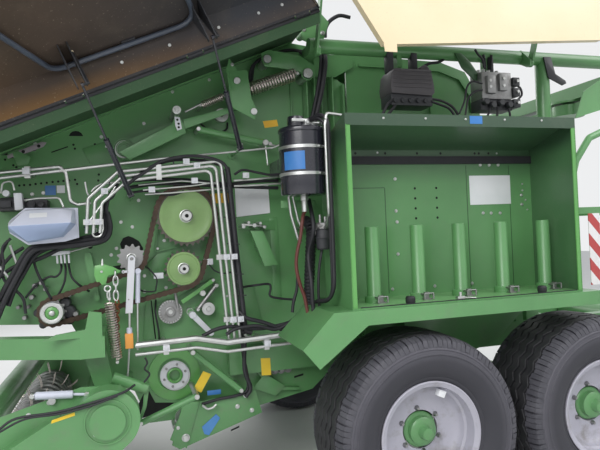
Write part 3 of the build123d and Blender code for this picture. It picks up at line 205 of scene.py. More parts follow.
def metal(name, colour, stain, roughness=0.34, stain_level=0.5):
    s = Shader(name)
    stains = s.noise(16.0, 6.0, 0.7).ramp(0.5, 0.72) * stain_level
    s.set("Base Color", s.mix(stains, colour, stain))
    s.set("Metallic", 1.0 - stains * 0.6)
    s.set("Roughness", roughness + stains * 0.3 + s.noise(180.0, 2.0) * 0.1)
    s.bump(s.noise(320.0, 2.0), 0.1, 0.0006)
    return s.material


def plastic(name, colour, wear, roughness=0.5, grain=420.0, strength=0.18, zones=None):
    s = Shader(name)
    tone = s.noise(6.0, 5.0).ramp(0.45, 0.75)
    base = s.mix(tone * 0.6, colour, wear)
    s.set("Base Color", zones(s, base) if zones else base)
    s.set("Roughness", roughness + tone * 0.15)
    s.bump(s.noise(grain, 2.0) + tone * 0.3, strength, 0.001)
    return s.material


def rubber(name, colour, dust, dust_level=0.6, zones=None):
    s = Shader(name)
    dusty = s.noise(11.0, 7.0, 0.7).ramp(0.42, 0.72) * dust_level
    base = s.mix(dusty, colour, dust)
    s.set("Base Color", zones(s, base) if zones else base)
    s.set("Roughness", 0.58 + dusty * 0.3)
    s.bump(s.noise(150.0, 4.0) + s.noise(40.0, 3.0), 0.22, 0.0012)
    return s.material


HOOD_ALONG = (HINGE_B - HINGE_A).normalized()
HOOD_UP = Vector((-HOOD_ALONG.z, 0.0, HOOD_ALONG.x))
HOOD_OPEN = {"left": math.radians(115.0), "right": 0.0}
HAND = {"left": -1.0, "right": 1.0}


def hood_way(side, u, v):
    """A direction outward of a hood's hinge and above it, as the hood stands."""
    a = HOOD_OPEN[side]
    out, up = u * math.cos(a) - v * math.sin(a), u * math.sin(a) + v * math.cos(a)
    return Vector((0.0, HAND[side] * out, 0.0)) + HOOD_UP * up


def hood_at(side, t, u, v):
    """A point of a hood: along its hinge, outward of it and above it when the hood is closed."""
    return HINGE_A + Vector((0.0, HAND[side] * HINGE_Y, 0.0)) + HOOD_ALONG * t + hood_way(side, u, v)


def hood_zones(side):
    """Brown to charcoal inside the hood, with a painted glow of reflected light on the strip beside its hinge."""
    inward, away, outer = hood_way(side, -1.0, 0.0), hood_way(side, 0.0, -1.0), hood_way(side, 1.0, 0.0)
    hinge = hood_at(side, 0.0, 0.0, 0.0) * MM

    def zones(s, base):
        t = s.dot(HOOD_ALONG) - hinge.dot(HOOD_ALONG)
        w = s.dot(away) - hinge.dot(away)
        u = s.dot(outer) - hinge.dot(outer)
        lining = s.mix(t.ramp(0.25, 1.7), (0.092, 0.052, 0.024), (0.040, 0.043, 0.052))
        cloud = s.noise(2.3, 5.0).ramp(0.4, 0.75) * 0.55
        lining = s.mix(cloud, lining, (0.026, 0.022, 0.018))
        # Painted reflected light: a golden glow on the shoulder strip beside the hinge, fading along the hood.
        shoulder_glow = (1.0 - w.ramp(0.006, 0.044)) * (1.0 - t.ramp(0.6, 1.6) * 0.8)
        lining = s.mix(shoulder_glow, lining, (0.190, 0.092, 0.018))
        s.dull = s.facing(inward).ramp(0.05, 0.3)
        lined = s.mix(s.dull, base, lining)
        front, rear = (t - place * MM for place in HOOD_BRACKETS)
        seats = front.maths("ABSOLUTE", front).under(0.06) + rear.maths("ABSOLUTE", rear).under(0.06)
        fittings = u.under(0.098) * w.over(0.05) + u.under(0.135) * w.over(0.06) * seats + u.under(0.012)
        return s.mix(fittings.ramp(0.0, 1.0), lined, (0.026, 0.027, 0.031))

    return zones


def lid_underside_shade(inward):
    # Painted shade: faces that look inward get a dark olive for the shadow on the lid's underside.
    def zones(s, base):
        lining = s.mix(s.noise(2.0, 4.0).ramp(0.35, 0.7), (0.042, 0.058, 0.020), (0.022, 0.025, 0.013))
        return s.mix(s.facing(inward).ramp(0.2, 0.45), base, lining)

    return zones


def roof_zones(s, base):
    """Weathered cream above; green on the hinge rails and beneath, darkened as painted shade."""
    above = s.facing(tuple(HOOD_UP)).ramp(0.3, 0.7)
    s.dull = 1.0 - above * 0.1
    # The rails' green is darkened to stand for the shade under the hoods' edges.
    return s.mix(above, (0.030, 0.082, 0.032), base)


def guard_zones(s, base):
    """The marker boards' slanted stripes on the guards' outer faces."""
    board = s.along("Y").maths("ABSOLUTE", s.along("Y")).over(1.3885)
    band = (s.along("Z") + s.along("X") * 1.1) * 7.0
    stripe = band.maths("FRACT", band).over(0.5)
    return s.mix(board, base, s.mix(stripe, (0.72, 0.70, 0.70), (0.42, 0.05, 0.05)))


def lamp_zones(s, base):
    return s.mix(s.along("X").over(6.365), (0.03, 0.03, 0.032), base)


def box_light_and_shade(s, base):
    """Painted shade under the boxes' roofs, on their front lips and on the inner faces of their rear ends; painted
    light on their floors.
    """
    height, out = s.along("Z"), s.along("Y")
    # Painted light: floors that face up are made lighter, as if lit.
    floor = s.facing((0.0, 0.0, 1.0)).ramp(0.5, 0.9) * height.under(1.3)
    base = s.mix(floor * 0.8, base, (0.185, 0.400, 0.160))
    # Painted shade on the front lips, for the shadow of the lids above them.
    lip = out.maths("ABSOLUTE", out).over(1.393) * height.over(2.12)
    # Painted shade on the inner face of the rear end wall.
    end = s.facing((-1.0, 0.0, 0.0)).ramp(0.4, 0.8) * s.along("X").over(4.3) * s.along("X").under(4.366)
    # Painted shade growing towards the roofs.
    shade = height.ramp(1.88, 2.10) * 0.82
    shade = shade.maths("MAXIMUM", shade, lip * 0.9)
    return s.mix(shade.maths("MAXIMUM", shade, end * 0.55), base, (0.022, 0.046, 0.030))


def cover_underside_shade(s, base):
    """Painted shade: bluish and darker on the faces below the ridge of the control cover, which look down."""
    return s.mix(s.facing((0.0, -0.45, -0.9)).ramp(-0.2, 0.5), base, (0.370, 0.450, 0.660))


def sidewall_zones(axle_x):
    """A tyre's side, black near the rim and greyer towards its shoulder."""

    def zones(s, base):
        x, z = s.along("X") - axle_x, s.along("Z") - TYRE_R * MM
        r = (x * x + z * z).maths("SQRT", x * x + z * z)
        return s.mix(r.ramp(0.395, 0.47), s.mix(0.75, base, (0.026, 0.026, 0.034)),
                     s.mix(0.5, base, (0.125, 0.120, 0.145)))

    return zones


def cream(name, zones=None):
    """The glossy paint of hoods, lids, roof and front cover."""
    return paint(name, SUN_CREAM, CREAM_SHADE, CREAM_DUST, roughness=0.3, grime_level=0.2, zones=zones)


def sheet(name, colour, wear):
    """A smooth blank plate."""
    return plastic(name, colour, wear, roughness=0.3, strength=0.04)


LEAF, LEAF_SHADE, DUST = (0.118, 0.302, 0.112), (0.090, 0.240, 0.087), (0.175, 0.190, 0.145)
SUN_CREAM, CREAM_SHADE, CREAM_DUST = (0.86, 0.73, 0.50), (0.80, 0.66, 0.43), (0.45, 0.38, 0.27)
GREEN = paint("green_paint", LEAF, LEAF_SHADE, DUST)
GREEN_BOX = paint("film_box_green", LEAF, LEAF_SHADE, DUST, zones=box_light_and_shade)
GREEN_LIGHT = paint("light_green_disc", (0.225, 0.370, 0.130), (0.180, 0.310, 0.105), (0.12, 0.11, 0.07),
                    grime_level=0.7)
GREEN_BRIGHT = paint("bright_green", (0.130, 0.380, 0.100), (0.100, 0.310, 0.078), DUST, roughness=0.3,
                     grime_level=0.3)
# A shaded copy of the green paint: painted shade on the bracket under the lid; it also marks the dark seams of the
# boxes' back panel.
GREEN_SHADE = paint("inner_green", (0.048, 0.125, 0.050), (0.032, 0.090, 0.036), (0.06, 0.06, 0.045))
GREEN_GUARD = paint("guard_green", LEAF, LEAF_SHADE, DUST, zones=guard_zones)
CREAM = cream("cream_paint")
CREAM_ROOF = cream("roof_cream", roof_zones)
HOODS = {side: cream(f"hood_paint_{side}", hood_zones(side)) for side in HAND}
LIDS = {side: cream(f"lid_paint_{side}", lid_underside_shade((0.0, -HAND[side], 0.0))) for side in HAND}
SILVER = paint("silver_paint", (0.47, 0.46, 0.53), (0.40, 0.39, 0.45), (0.20, 0.185, 0.16), roughness=0.38,
               grime_level=0.7)
BLACK = paint("black_enamel", (0.014, 0.014, 0.022), (0.022, 0.022, 0.034), (0.06, 0.06, 0.07), roughness=0.22,
              coat=0.7, grime_level=0.3)
TUBE_GREY = paint("hood_tube_grey", (0.070, 0.085, 0.115), (0.050, 0.062, 0.088), (0.03, 0.03, 0.03), roughness=0.3)
RED = paint("lamp_red", (0.45, 0.02, 0.015), (0.35, 0.015, 0.012), (0.2, 0.1, 0.08), roughness=0.2, coat=0.8,
            zones=lamp_zones)
ZINC = metal("zinc_steel", (0.60, 0.61, 0.60), (0.33, 0.32, 0.29))
CAST = metal("grey_casting", (0.33, 0.33, 0.33), (0.16, 0.14, 0.12), roughness=0.48)
SPRING = metal("spring_steel", (0.66, 0.58, 0.55), (0.30, 0.20, 0.15), roughness=0.3, stain_level=0.35)
RUST = metal("rusty_steel", (0.20, 0.085, 0.045), (0.10, 0.04, 0.02), roughness=0.6, stain_level=1.0)
CHAIN = metal("oily_chain", (0.085, 0.062, 0.048), (0.030, 0.020, 0.014), roughness=0.36, stain_level=0.8)
DARK_STEEL = metal("oiled_teeth", (0.120, 0.110, 0.095), (0.045, 0.038, 0.028), roughness=0.42, stain_level=0.8)
WHITE_PAINT = paint("white_paint", (0.66, 0.67, 0.70), (0.58, 0.59, 0.63), (0.30, 0.29, 0.27), roughness=0.32,
                    grime_level=0.5)
TYRE = rubber("tyre_rubber", (0.055, 0.054, 0.066), (0.125, 0.122, 0.140))
SIDEWALLS = {x: rubber(f"sidewall_rubber_{end}", (0.047, 0.046, 0.056), (0.110, 0.107, 0.122),
                       zones=sidewall_zones(x * MM))
             for end, x in zip(("front", "rear"), AXLES)}
TREAD = rubber("tread_rubber", (0.020, 0.020, 0.023), (0.055, 0.055, 0.058), 0.5)
HOSE = rubber("hose_rubber", (0.014, 0.014, 0.018), (0.045, 0.045, 0.05), 0.4)
HOSE_RED = rubber("red_brown_hose", (0.115, 0.028, 0.022), (0.20, 0.10, 0.08), 0.4)
GREY_COVER = plastic("grey_moulding", (0.56, 0.58, 0.67), (0.45, 0.47, 0.54), roughness=0.42)
GREY_RIDGED = plastic("ridged_grey_moulding", (0.64, 0.66, 0.76), (0.52, 0.54, 0.62), roughness=0.42,
                      zones=cover_underside_shade)
STAY_GREY = plastic("stay_grey", (0.30, 0.27, 0.29), (0.22, 0.20, 0.215), roughness=0.5, strength=0.08)
GREY_DARK = plastic("dull_grey_moulding", (0.085, 0.078, 0.085), (0.13, 0.12, 0.13), roughness=0.55)
DARK_PLASTIC = plastic("dark_moulding", (0.030, 0.031, 0.036), (0.075, 0.075, 0.08))
WHITE_PLATE = sheet("white_plate", (0.82, 0.83, 0.85), (0.70, 0.72, 0.74))
AMBER_PLATE = sheet("amber_plate", (0.95, 0.56, 0.03), (0.80, 0.42, 0.03))
YELLOW_PLATE = sheet("yellow_plate", (0.80, 0.56, 0.03), (0.66, 0.44, 0.03))
ORANGE_PLATE = plastic("orange_block", (0.74, 0.32, 0.06), (0.60, 0.24, 0.05), roughness=0.4, strength=0.05)
BLUE_PLATE = sheet("blue_plate", (0.045, 0.19, 0.50), (0.12, 0.32, 0.58))
# Painted shade: a near-black for holes, slots, bores and openings, drawn as dark discs and sheets in place of
# shaded gaps.
PAINTED_HOLE_SHADE = plastic("dark_recess", (0.006, 0.008, 0.007), (0.012, 0.014, 0.012), roughness=0.85)
FILM_WRAP = plastic("wound_film", (0.62, 0.64, 0.62), (0.50, 0.53, 0.50), roughness=0.18, grain=60.0, strength=0.3)
CAD_SLOTS = {
    "paint_green": GREEN, "paint_cream": CREAM, "tyre_rubber": TYRE, "gauge_rubber": TYRE, "rim_silver": SILVER,
    "bare_steel": ZINC, "chain_steel": CHAIN, "black_paint": BLACK, "dark_plastic": DARK_PLASTIC,
    "grey_plastic": GREY_COVER, "lamp_body": RED,
}
SLOT_GROUPS = {
    "paint_green": (GREEN, GREEN_LIGHT, GREEN_BRIGHT, GREEN_SHADE),
    "tyre_rubber": (TYRE, TREAD, *SIDEWALLS.values()),
    "rim_silver": (SILVER,),
    "bare_steel": (ZINC, CAST, SPRING, DARK_STEEL),
    "chain_steel": (CHAIN, RUST),
    "black_paint": (BLACK, TUBE_GREY, HOSE, HOSE_RED, PAINTED_HOLE_SHADE, DARK_PLASTIC),
    "dark_plastic": (GREY_DARK,),
    "grey_plastic": (GREY_COVER, GREY_RIDGED, STAY_GREY, WHITE_PAINT, WHITE_PLATE, AMBER_PLATE, YELLOW_PLATE,
                     ORANGE_PLATE, BLUE_PLATE, FILM_WRAP),
}
USUAL_SLOT = {material.name: slot for slot, group in SLOT_GROUPS.items() for material in group}
OWN_FINISH = {
    "hood_left": HOODS["left"], "hood_right": HOODS["right"], "lid_left": LIDS["left"], "lid_right": LIDS["right"],
    "roof_cover": CREAM_ROOF, "side_guards": GREEN_GUARD, "film_boxes": GREEN_BOX, "indicator_bar": WHITE_PAINT,
    "strut_rods_left": BLACK, "strut_rods_right": BLACK,
}


# Mesh making.
def across_axes(direction):
    d = direction.normalized()
    side = d.cross(Vector((0, 0, 1)) if abs(d.z) < 0.9 else Vector((1, 0, 0))).normalized()
    return side, d.cross(side)


class Piece:
    """Closed shapes in millimetres, collected into one object that rides on a body."""

    def __init__(self, name, material, body="frame", slot=None, bevel=0.0):
        self.name, self.material, self.body, self.bevel = name, material, body, bevel
        self.slot = slot or USUAL_SLOT.get(material.name)
        self.points, self.faces = [], []

    def add(self, points, faces):
        start = len(self.points)
        self.points += [tuple(p) for p in points]
        self.faces += [tuple(start + i for i in face) for face in faces]
        return self

    def box(self, x0, x1, y0, y1, z0, z1):
        corners = [(x, y, z) for x in (x0, x1) for y in (y0, y1) for z in (z0, z1)]
        return self.add(corners, [(0, 1, 3, 2), (4, 6, 7, 5), (0, 4, 5, 1), (2, 3, 7, 6), (0, 2, 6, 4),
                                  (1, 5, 7, 3)])

    def prism(self, outline, offset):
        """A flat outline of points, given depth along a vector."""
        n = len(outline)
        near = [Vector(p) for p in outline]
        far = [p + Vector(offset) for p in near]
        sides = [(i, (i + 1) % n, n + (i + 1) % n, n + i) for i in range(n)]
        return self.add(near + far, [tuple(range(n - 1, -1, -1)), tuple(range(n, 2 * n)), *sides])

    def plate(self, outline, y0, y1):
        """An outline in X and Z between two Y."""
        return self.prism([(x, y0, z) for x, z in outline], (0, y1 - y0, 0))

    def lathe(self, profile, centre, axis, segments=24):
        """A closed or open profile of radius and distance, turned about an axis."""
        axis = Vector(axis).normalized()
        side, up = across_axes(axis)
        centre = Vector(centre)
        points, faces, rings = [], [], []
        for radius, distance in profile:
            if radius <= 1e-6:
                rings.append([len(points)])
                points.append(centre + axis * distance)
                continue
            ring = []
            for i in range(segments):
                a = 2 * math.pi * i / segments
                ring.append(len(points))
                points.append(centre + axis * distance + (side * math.cos(a) + up * math.sin(a)) * radius)
            rings.append(ring)
        for near, far in zip(rings, rings[1:]):
            for i in range(segments):
                j = (i + 1) % segments
                if len(near) == 1 and len(far) > 1:
                    faces.append((near[0], far[j], far[i]))
                elif len(far) == 1 and len(near) > 1:
                    faces.append((near[i], near[j], far[0]))
                elif len(near) > 1:
                    faces.append((near[i], near[j], far[j], far[i]))
        return self.add(points, faces)

    def rod(self, start, end, radius, segments=14, tip=None, chamfer=0.0):
        a, b = Vector(start), Vector(end)
        length = (b - a).length
        tip = radius if tip is None else tip
        c = chamfer
        profile = [(0, 0), (radius - c, 0), (radius, c), (tip, length - c), (tip - c, length), (0, length)]
        if c == 0.0:
            profile = [(0, 0), (radius, 0), (tip, length), (0, length)]
        return self.lathe(profile, a, b - a, segments)

    def drum(self, x, z, radius, y0, y1, segments=28, chamfer=1.5):
        return self.rod((x, y0, z), (x, y1, z), radius, segments, chamfer=chamfer)

    def tube(self, route, radius, bend=30.0, segments=9, steps=5):
        """A round bar along straight runs joined by arcs."""
        return self.wire(rounded(route, bend, steps), radius, segments)

    def wire(self, line, radius, segments=8):
        rings = []
        points, faces = [], []
        side = None
        for i, p in enumerate(line):
            ahead = line[min(i + 1, len(line) - 1)] - line[max(i - 1, 0)]
            d = ahead.normalized()
            if side is None:
                side, _ = across_axes(d)
            side = (side - d * side.dot(d)).normalized()
            up = d.cross(side)
            ring = []
            for k in range(segments):
                a = 2 * math.pi * k / segments
                ring.append(len(points))
                points.append(p + (side * math.cos(a) + up * math.sin(a)) * radius)
            rings.append(ring)
        for near, far in zip(rings, rings[1:]):
            for i in range(segments):
                j = (i + 1) % segments
                faces.append((near[i], near[j], far[j], far[i]))
        faces.append(tuple(reversed(rings[0])))
        faces.append(tuple(rings[-1]))
        return self.add(points, faces)

    def bolt(self, at, outward, size=9.0):
        """A hexagon head on a washer."""
        at, outward = Vector(at), Vector(outward).normalized()
        self.lathe([(0, -0.3), (size * 1.15, -0.3), (size * 1.15, 1.6), (0, 1.6)], at, outward, 14)
        head = size * 0.72
        profile = [(0, 1.2), (size * 0.98, 1.2), (size * 0.98, head), (size * 0.82, head + 1.2), (0, head + 1.2)]
        return self.lathe(profile, at, outward, 6)

    def finish(self):
        """The piece as an object on its body."""
        mesh = bpy.data.meshes.new(self.name)
        mesh.from_pydata([Vector(p) * MM for p in self.points], [], self.faces)
        work = bmesh.new()
        work.from_mesh(mesh)
        bmesh.ops.recalc_face_normals(work, faces=work.faces)
        work.to_mesh(mesh)
        work.free()
        obj = bpy.data.objects.new(self.name, mesh)
        bpy.context.scene.collection.objects.link(obj)
        if self.bevel:
            edge = obj.modifiers.new("edge", "BEVEL")
            edge.width, edge.segments = self.bevel * MM, 2
            edge.limit_method, edge.angle_limit = "ANGLE", math.radians(50)
            plain(obj)
        smooth(obj.data)
        obj.data.materials.append(self.material)
        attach(obj, self.body)
        return obj


def rounded(route, bend, steps):
    """The route's points with each corner replaced by an arc."""
    line = [Vector(route[0])]
    for before, at, after in zip(route, route[1:], route[2:]):
        at = Vector(at)
        a, b = Vector(before) - at, Vector(after) - at
        turn = math.pi - a.angle(b)
        if turn < 0.02:
            line.append(at)
            continue
        reach = min(bend * math.tan(turn / 2), 0.48 * a.length, 0.48 * b.length)
        start, end = at + a.normalized() * reach, at + b.normalized() * reach
        for i in range(steps + 1):
            t = i / steps
            line.append(start * (1 - t) ** 2 + at * 2 * t * (1 - t) + end * t ** 2)
    line.append(Vector(route[-1]))
    return line


def plain(obj):
    """The object with its modifiers worked into its mesh."""
    bpy.context.view_layer.update()
    result = bpy.data.meshes.new_from_object(obj.evaluated_get(bpy.context.evaluated_depsgraph_get()))
    obj.modifiers.clear()
    obj.data = result
    return obj


def smooth(mesh, angle=32.0):
    work = bmesh.new()
    work.from_mesh(mesh)
    limit = math.radians(angle)
    for face in work.faces:
        face.smooth = True
    for edge in work.edges:
        edge.smooth = len(edge.link_faces) == 2 and edge.calc_face_angle(0.0) < limit
    work.to_mesh(mesh)
    work.free()


def repeated(name, unit, places, material, body="frame"):
    """One closed unit set at many places by a geometry tree. Each place is a point, a turn and a size."""
    mesh = bpy.data.meshes.new(name)
    mesh.from_pydata([Vector(p[0]) * MM for p in places], [], [])
    turn = mesh.attributes.new("turn", "FLOAT_VECTOR", "POINT")
    size = mesh.attributes.new("size", "FLOAT_VECTOR", "POINT")
    for i, (_, euler, scale) in enumerate(places):
        turn.data[i].vector = euler
        size.data[i].vector = scale
    obj = bpy.data.objects.new(name, mesh)
    bpy.context.scene.collection.objects.link(obj)
    tree = bpy.data.node_groups.new(name + "_tree", "GeometryNodeTree")
    tree.interface.new_socket("Geometry", in_out="INPUT", socket_type="NodeSocketGeometry")
    tree.interface.new_socket("Unit", in_out="INPUT", socket_type="NodeSocketObject")
    tree.interface.new_socket("Geometry", in_out="OUTPUT", socket_type="NodeSocketGeometry")
    make = tree.nodes.new
    entry, exit_node = make("NodeGroupInput"), make("NodeGroupOutput")
    info, spread = make("GeometryNodeObjectInfo"), make("GeometryNodeInstanceOnPoints")
    real, coat = make("GeometryNodeRealizeInstances"), make("GeometryNodeSetMaterial")
    coat.inputs["Material"].default_value = material
    link = tree.links.new
    for attribute, socket in (("turn", "Rotation"), ("size", "Scale")):
        read = make("GeometryNodeInputNamedAttribute")
        read.data_type = "FLOAT_VECTOR"
        read.inputs["Name"].default_value = attribute
        link(read.outputs["Attribute"], spread.inputs[socket])
    link(entry.outputs["Geometry"], spread.inputs["Points"])
    link(entry.outputs["Unit"], info.inputs["Object"])
    link(info.outputs["Geometry"], spread.inputs["Instance"])
    link(spread.outputs[0], real.inputs[0])
    link(real.outputs[0], coat.inputs["Geometry"])
    link(coat.outputs[0], exit_node.inputs[0])
    modifier = obj.modifiers.new("repeat", "NODES")
    modifier.node_group = tree
    wanted = next(i for i in tree.interface.items_tree if i.name == "Unit").identifier
    modifier[wanted] = unit
    plain(obj)
    if not obj.data.materials:
        obj.data.materials.append(material)
    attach(obj, body)
    return obj


def unit_of(piece):
    """A piece's mesh alone, at the origin, to be repeated."""
    mesh = bpy.data.meshes.new(piece.name)
    mesh.from_pydata([Vector(p) * MM for p in piece.points], [], piece.faces)
    work = bmesh.new()
    work.from_mesh(mesh)
    bmesh.ops.recalc_face_normals(work, faces=work.faces)
    work.to_mesh(mesh)
    work.free()
    smooth(mesh)
    return bpy.data.objects.new(piece.name, mesh)


def turn_to(outward):
    """The turn that brings +Z to a direction."""
    return tuple(Vector(outward).to_track_quat("Z", "Y").to_euler())


def circle(centre, radius, count, start=0.0):
    """Points round a centre in X and Z."""
    x, z = centre
    angles = [start + 2 * math.pi * i / count for i in range(count)]
    return [(x + radius * math.cos(a), z + radius * math.sin(a)) for a in angles]


for name, node in frame["nodes"].items():
    wanted = next(p["material_slot"] for p in frame["record"]["subparts"] if p["node"] == name)
    node.data.materials.clear()
    node.data.materials.append(OWN_FINISH.get(name, CAD_SLOTS[wanted]))


# Wheels.
def wheel_turn(angle):
    """The turn of a block that stands on the tread, by its place round the wheel."""
    return (0.0, math.pi / 2 - angle, 0.0)


RIB_WAVES = 36
RIBS = ((-27.0, 27.0, 529.0), (40.0, 86.0, 528.0), (99.0, 150.0, 525.0), (-86.0, -40.0, 528.0),
        (-150.0, -99.0, 525.0))
LUG_COUNT = 36
LUG_R = 521.0
NUT_COUNT = 6
NUT_CIRCLE_R = 118.0


def tread_rib(piece, centre, y0, y1, radius):
    """A closed ring on the tread whose two edges run in zigzags."""
    swing, depth, edge = 12.0, 17.0, 2.5
    outline = [(y0, -depth), (y0, -edge), (y0 + edge, 0.0), (y1 - edge, 0.0), (y1, -edge), (y1, -depth)]
    stations = 2 * RIB_WAVES
    points, faces = [], []
    for i in range(stations):
        a = 2 * math.pi * i / stations
        shift = swing if i % 2 else -swing
        points += [(centre[0] + (radius + lift) * math.cos(a), centre[1] + y + shift,
                    centre[2] + (radius + lift) * math.sin(a))
                   for y, lift in outline]
    n = len(outline)
    for i in range(stations):
        near, far = i * n, ((i + 1) % stations) * n
        faces += [(near + k, near + (k + 1) % n, far + (k + 1) % n, far + k) for k in range(n)]
    piece.add(points, faces)


def lug_unit(hand):
    """A shoulder block that folds over the edge of the tread on to the sidewall."""
    lug = Piece("shoulder_lug", TREAD)
    for x0, x1, inner, low in ((-41.0, -15.0, 158, -52), (-12.5, 12.5, 170, -64), (15.0, 38.0, 162, -56)):
        section = [(inner, 0.5), (205, -7.5), (226, -19), (236, -42), (240, low), (226, low), (205, -34),
                   (inner, -22)]
        lug.prism([(x0, hand * y, z) for y, z in section], (x1 - x0, 0, 0))
    return unit_of(lug)


def tyre(end, axle_x, side):
    sign = HAND[side]
    body = f"wheel_{end}_{side}"
    centre = (axle_x, WHEEL_Y * sign, TYRE_R)
    carcass = Piece(f"tyre_{end}_{side}_carcass", SIDEWALLS[axle_x], body)
    half = [(263.0, 196.0), (284, 200), (296, 210), (306, 216), (312, 216), (322, 226), (352, 243), (384, 248.5),
            (410, 248.5),
            (425, 246), (429, 249.5), (434, 249.5), (438, 244.5), (452, 241), (456, 244), (461, 243), (465, 238),
            (482, 232),
            (496, 216), (503, 190), (509, 150), (512, 80), (513, 0)]
    profile = half + [(r, -y) for r, y in reversed(half[:-1])]
    carcass.lathe(profile + [profile[0]], centre, (0, 1, 0), 96)
    carcass = carcass.finish()
    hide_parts(f"tyre_{end}_{side}")
    tread = Piece(f"tyre_{end}_{side}_ribs", TREAD, body)
    for y0, y1, radius in RIBS:
        tread_rib(tread, centre, y0, y1, radius)
    tread.finish()
    for hand in (1, -1):
        places = []
        for i in range(LUG_COUNT):
            a = 2 * math.pi * i / LUG_COUNT
            at = (axle_x + LUG_R * math.cos(a), centre[1], TYRE_R + LUG_R * math.sin(a))
            places.append((at, wheel_turn(a), (1, 1, 1)))
        edge = "out" if hand * sign > 0 else "in"
        repeated(f"tyre_{end}_{side}_lugs_{edge}", lug_unit(hand), places, TYRE, body)


def wheel_disc(end, axle_x, side):
    """The dished rim, its nuts and valve, and the hub with its stepped cap."""
    sign = HAND[side]
    body = f"wheel_{end}_{side}"
    centre = (axle_x, 0.0, TYRE_R)
    outward = (0, sign, 0)
    rim = Piece(f"rim_{end}_{side}_dish", SILVER, body)
    rim.lathe([(288, 995), (288, 1007), (263, 1010), (262, 1100), (255, 1200), (262, 1300), (263, 1411),
               (288, 1414), (289, 1424),
               (282, 1426), (272, 1418), (258, 1411), (252, 1380), (250, 1352), (238, 1342), (232, 1318),
               (214, 1300),
               (196, 1292), (150, 1288), (118, 1287), (104, 1289), (104, 1275), (200, 1279), (236, 1290),
               (246, 1230),
               (240, 1100), (250, 1010), (277, 998), (277, 995), (288, 995)], centre, outward, 72)
    rim = rim.finish()
    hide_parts(f"rim_{end}_{side}")
    hub = Piece(f"hub_{end}_{side}", GREEN, body)
    hub.lathe([(0, 1160), (92, 1160), (94, 1262), (96, 1284), (90, 1290), (76, 1293), (73, 1312), (76, 1318),
               (76, 1326), (66, 1334),
               (52, 1338), (38, 1340), (34, 1346), (33, 1374), (30, 1380), (16, 1383), (0, 1383)], centre, outward,
               40)
    hub.finish()
    nuts = Piece(f"wheel_nuts_{end}_{side}", CAST, body)
    for x, z in circle((axle_x, TYRE_R), NUT_CIRCLE_R, NUT_COUNT, 0.65):
        nuts.lathe([(0, 1286), (15, 1286), (15, 1291), (10, 1302), (8, 1310), (0, 1310)], (x, 0, z), outward, 6)
    nuts.finish()
    weight = Piece(f"valve_{end}_{side}", WHITE_PLATE, body, slot="rim_silver", bevel=2.0)
    weight.prism([(axle_x + 62, sign * 1350, TYRE_R + 196), (axle_x + 98, sign * 1350, TYRE_R + 180),
                  (axle_x + 114, sign * 1350, TYRE_R + 212), (axle_x + 76, sign * 1350, TYRE_R + 228)],
                  (0, sign * 38, 0))
    weight.finish()


for end_name, axle in zip(("front", "rear"), AXLES):
    for side_name in ("left", "right"):
        tyre(end_name, axle, side_name)
        wheel_disc(end_name, axle, side_name)


# Film-roll boxes.
def spigot_row(side):
    sign = HAND[side]
    y = SPIGOT_Y * sign
    tubes = Piece(f"film_spigots_{side}", GREEN)
    for x in SPIGOTS:
        tubes.lathe([(0, 1221), (52, 1221), (52, 1252), (49, 1255), (40, 1256), (38, 1260), (38, 1626), (37, 1632),
                     (33, 1634),
                     (31, 1632), (31, 1600), (0, 1600)], (x, y, 0), (0, 0, 1), 28)
    tubes = tubes.finish()
    clamps = Piece(f"spigot_clamps_{side}", CAST)
    for x in SPIGOTS:
        y0 = sign * 1252.0
        y1 = sign * 1290.0
        for dx in (-16.0, 38.0):
            clamps.rod((x + dx, y0, 1252), (x + dx, y1, 1252), 5.0, 8)
            clamps.rod((x + dx, y1, 1225), (x + dx, y1, 1257), 5.0, 8)
        clamps.rod((x - 16, y1, 1257), (x + 38, y1, 1257), 4.0, 8)
        clamps.box(x - 12, x + 34, *sorted((y0, y1 - sign * 8)), 1221.5, 1228)
        clamps.box(x - 2, x + 24, *sorted((y0, y0 + sign * 16)), 1228, 1262)
    clamps.finish()
    return tubes


spigots = [spigot_row("left"), spigot_row("right")]
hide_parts("roll_spigots")

box_trim = Piece("film_box_seals", HOSE)
for sign in (-1, 1):
    box_trim.box(FILM_BOX_X[0] + 8, FILM_BOX_X[1] - 8, *sorted((sign * 1007, sign * 1022)), 2000, 2046)
    for x in (3283.0, 4113.0):
        box_trim.lathe([(0, 1221), (22, 1221), (26, 1232), (26, 1252), (20, 1260), (0, 1262)], (x, sign * 1372, 0),
                       (0, 0, 1), 18)
box_trim.finish()

heads = Piece("bolt_head", ZINC)
heads.bolt((0, 0, 0), (0, 0, 1), 9.0)
bolt_unit = unit_of(heads)
# A hole drawn as a thin dark disc of painted shade.
hole = Piece("hole", PAINTED_HOLE_SHADE)
hole.lathe([(0, -0.5), (7.5, -0.5), (7.5, 0.35), (0, 0.35)], (0, 0, 0), (0, 0, 1), 14)
hole_shade_unit = unit_of(hole)

LEFT = turn_to((0, -1, 0))
box_bolts = [(3995, 1993), (4060, 1993), (4126, 1993), (4001, 1693), (4059, 1691), (4125, 1690), (3407, 1913),
             (3404, 1723),
             (3408, 1657), (3405, 1467), (3360, 1262), (3640, 1262), (3900, 1262), (4290, 1800), (4290, 1740),
             (3040, 1750)]
repeated("film_box_bolts", bolt_unit, [((x, BOX_BACK_Y, z), LEFT, (1, 1, 1)) for x, z in box_bolts], ZINC)
# Holes in the boxes' back wall as discs of painted shade.
box_holes = [(x, z) for x in (3535.0, 3680.0) for z in (1855.0, 1795.0, 1735.0, 1675.0)] + [
    (x, 2066.0) for x in (3080, 3160, 3350, 3560, 3720, 3960, 3990, 4060)]
repeated("film_box_holes", hole_shade_unit, [((x, BOX_BACK_Y, z), LEFT, (1, 1, 1)) for x, z in box_holes], PAINTED_HOLE_SHADE)

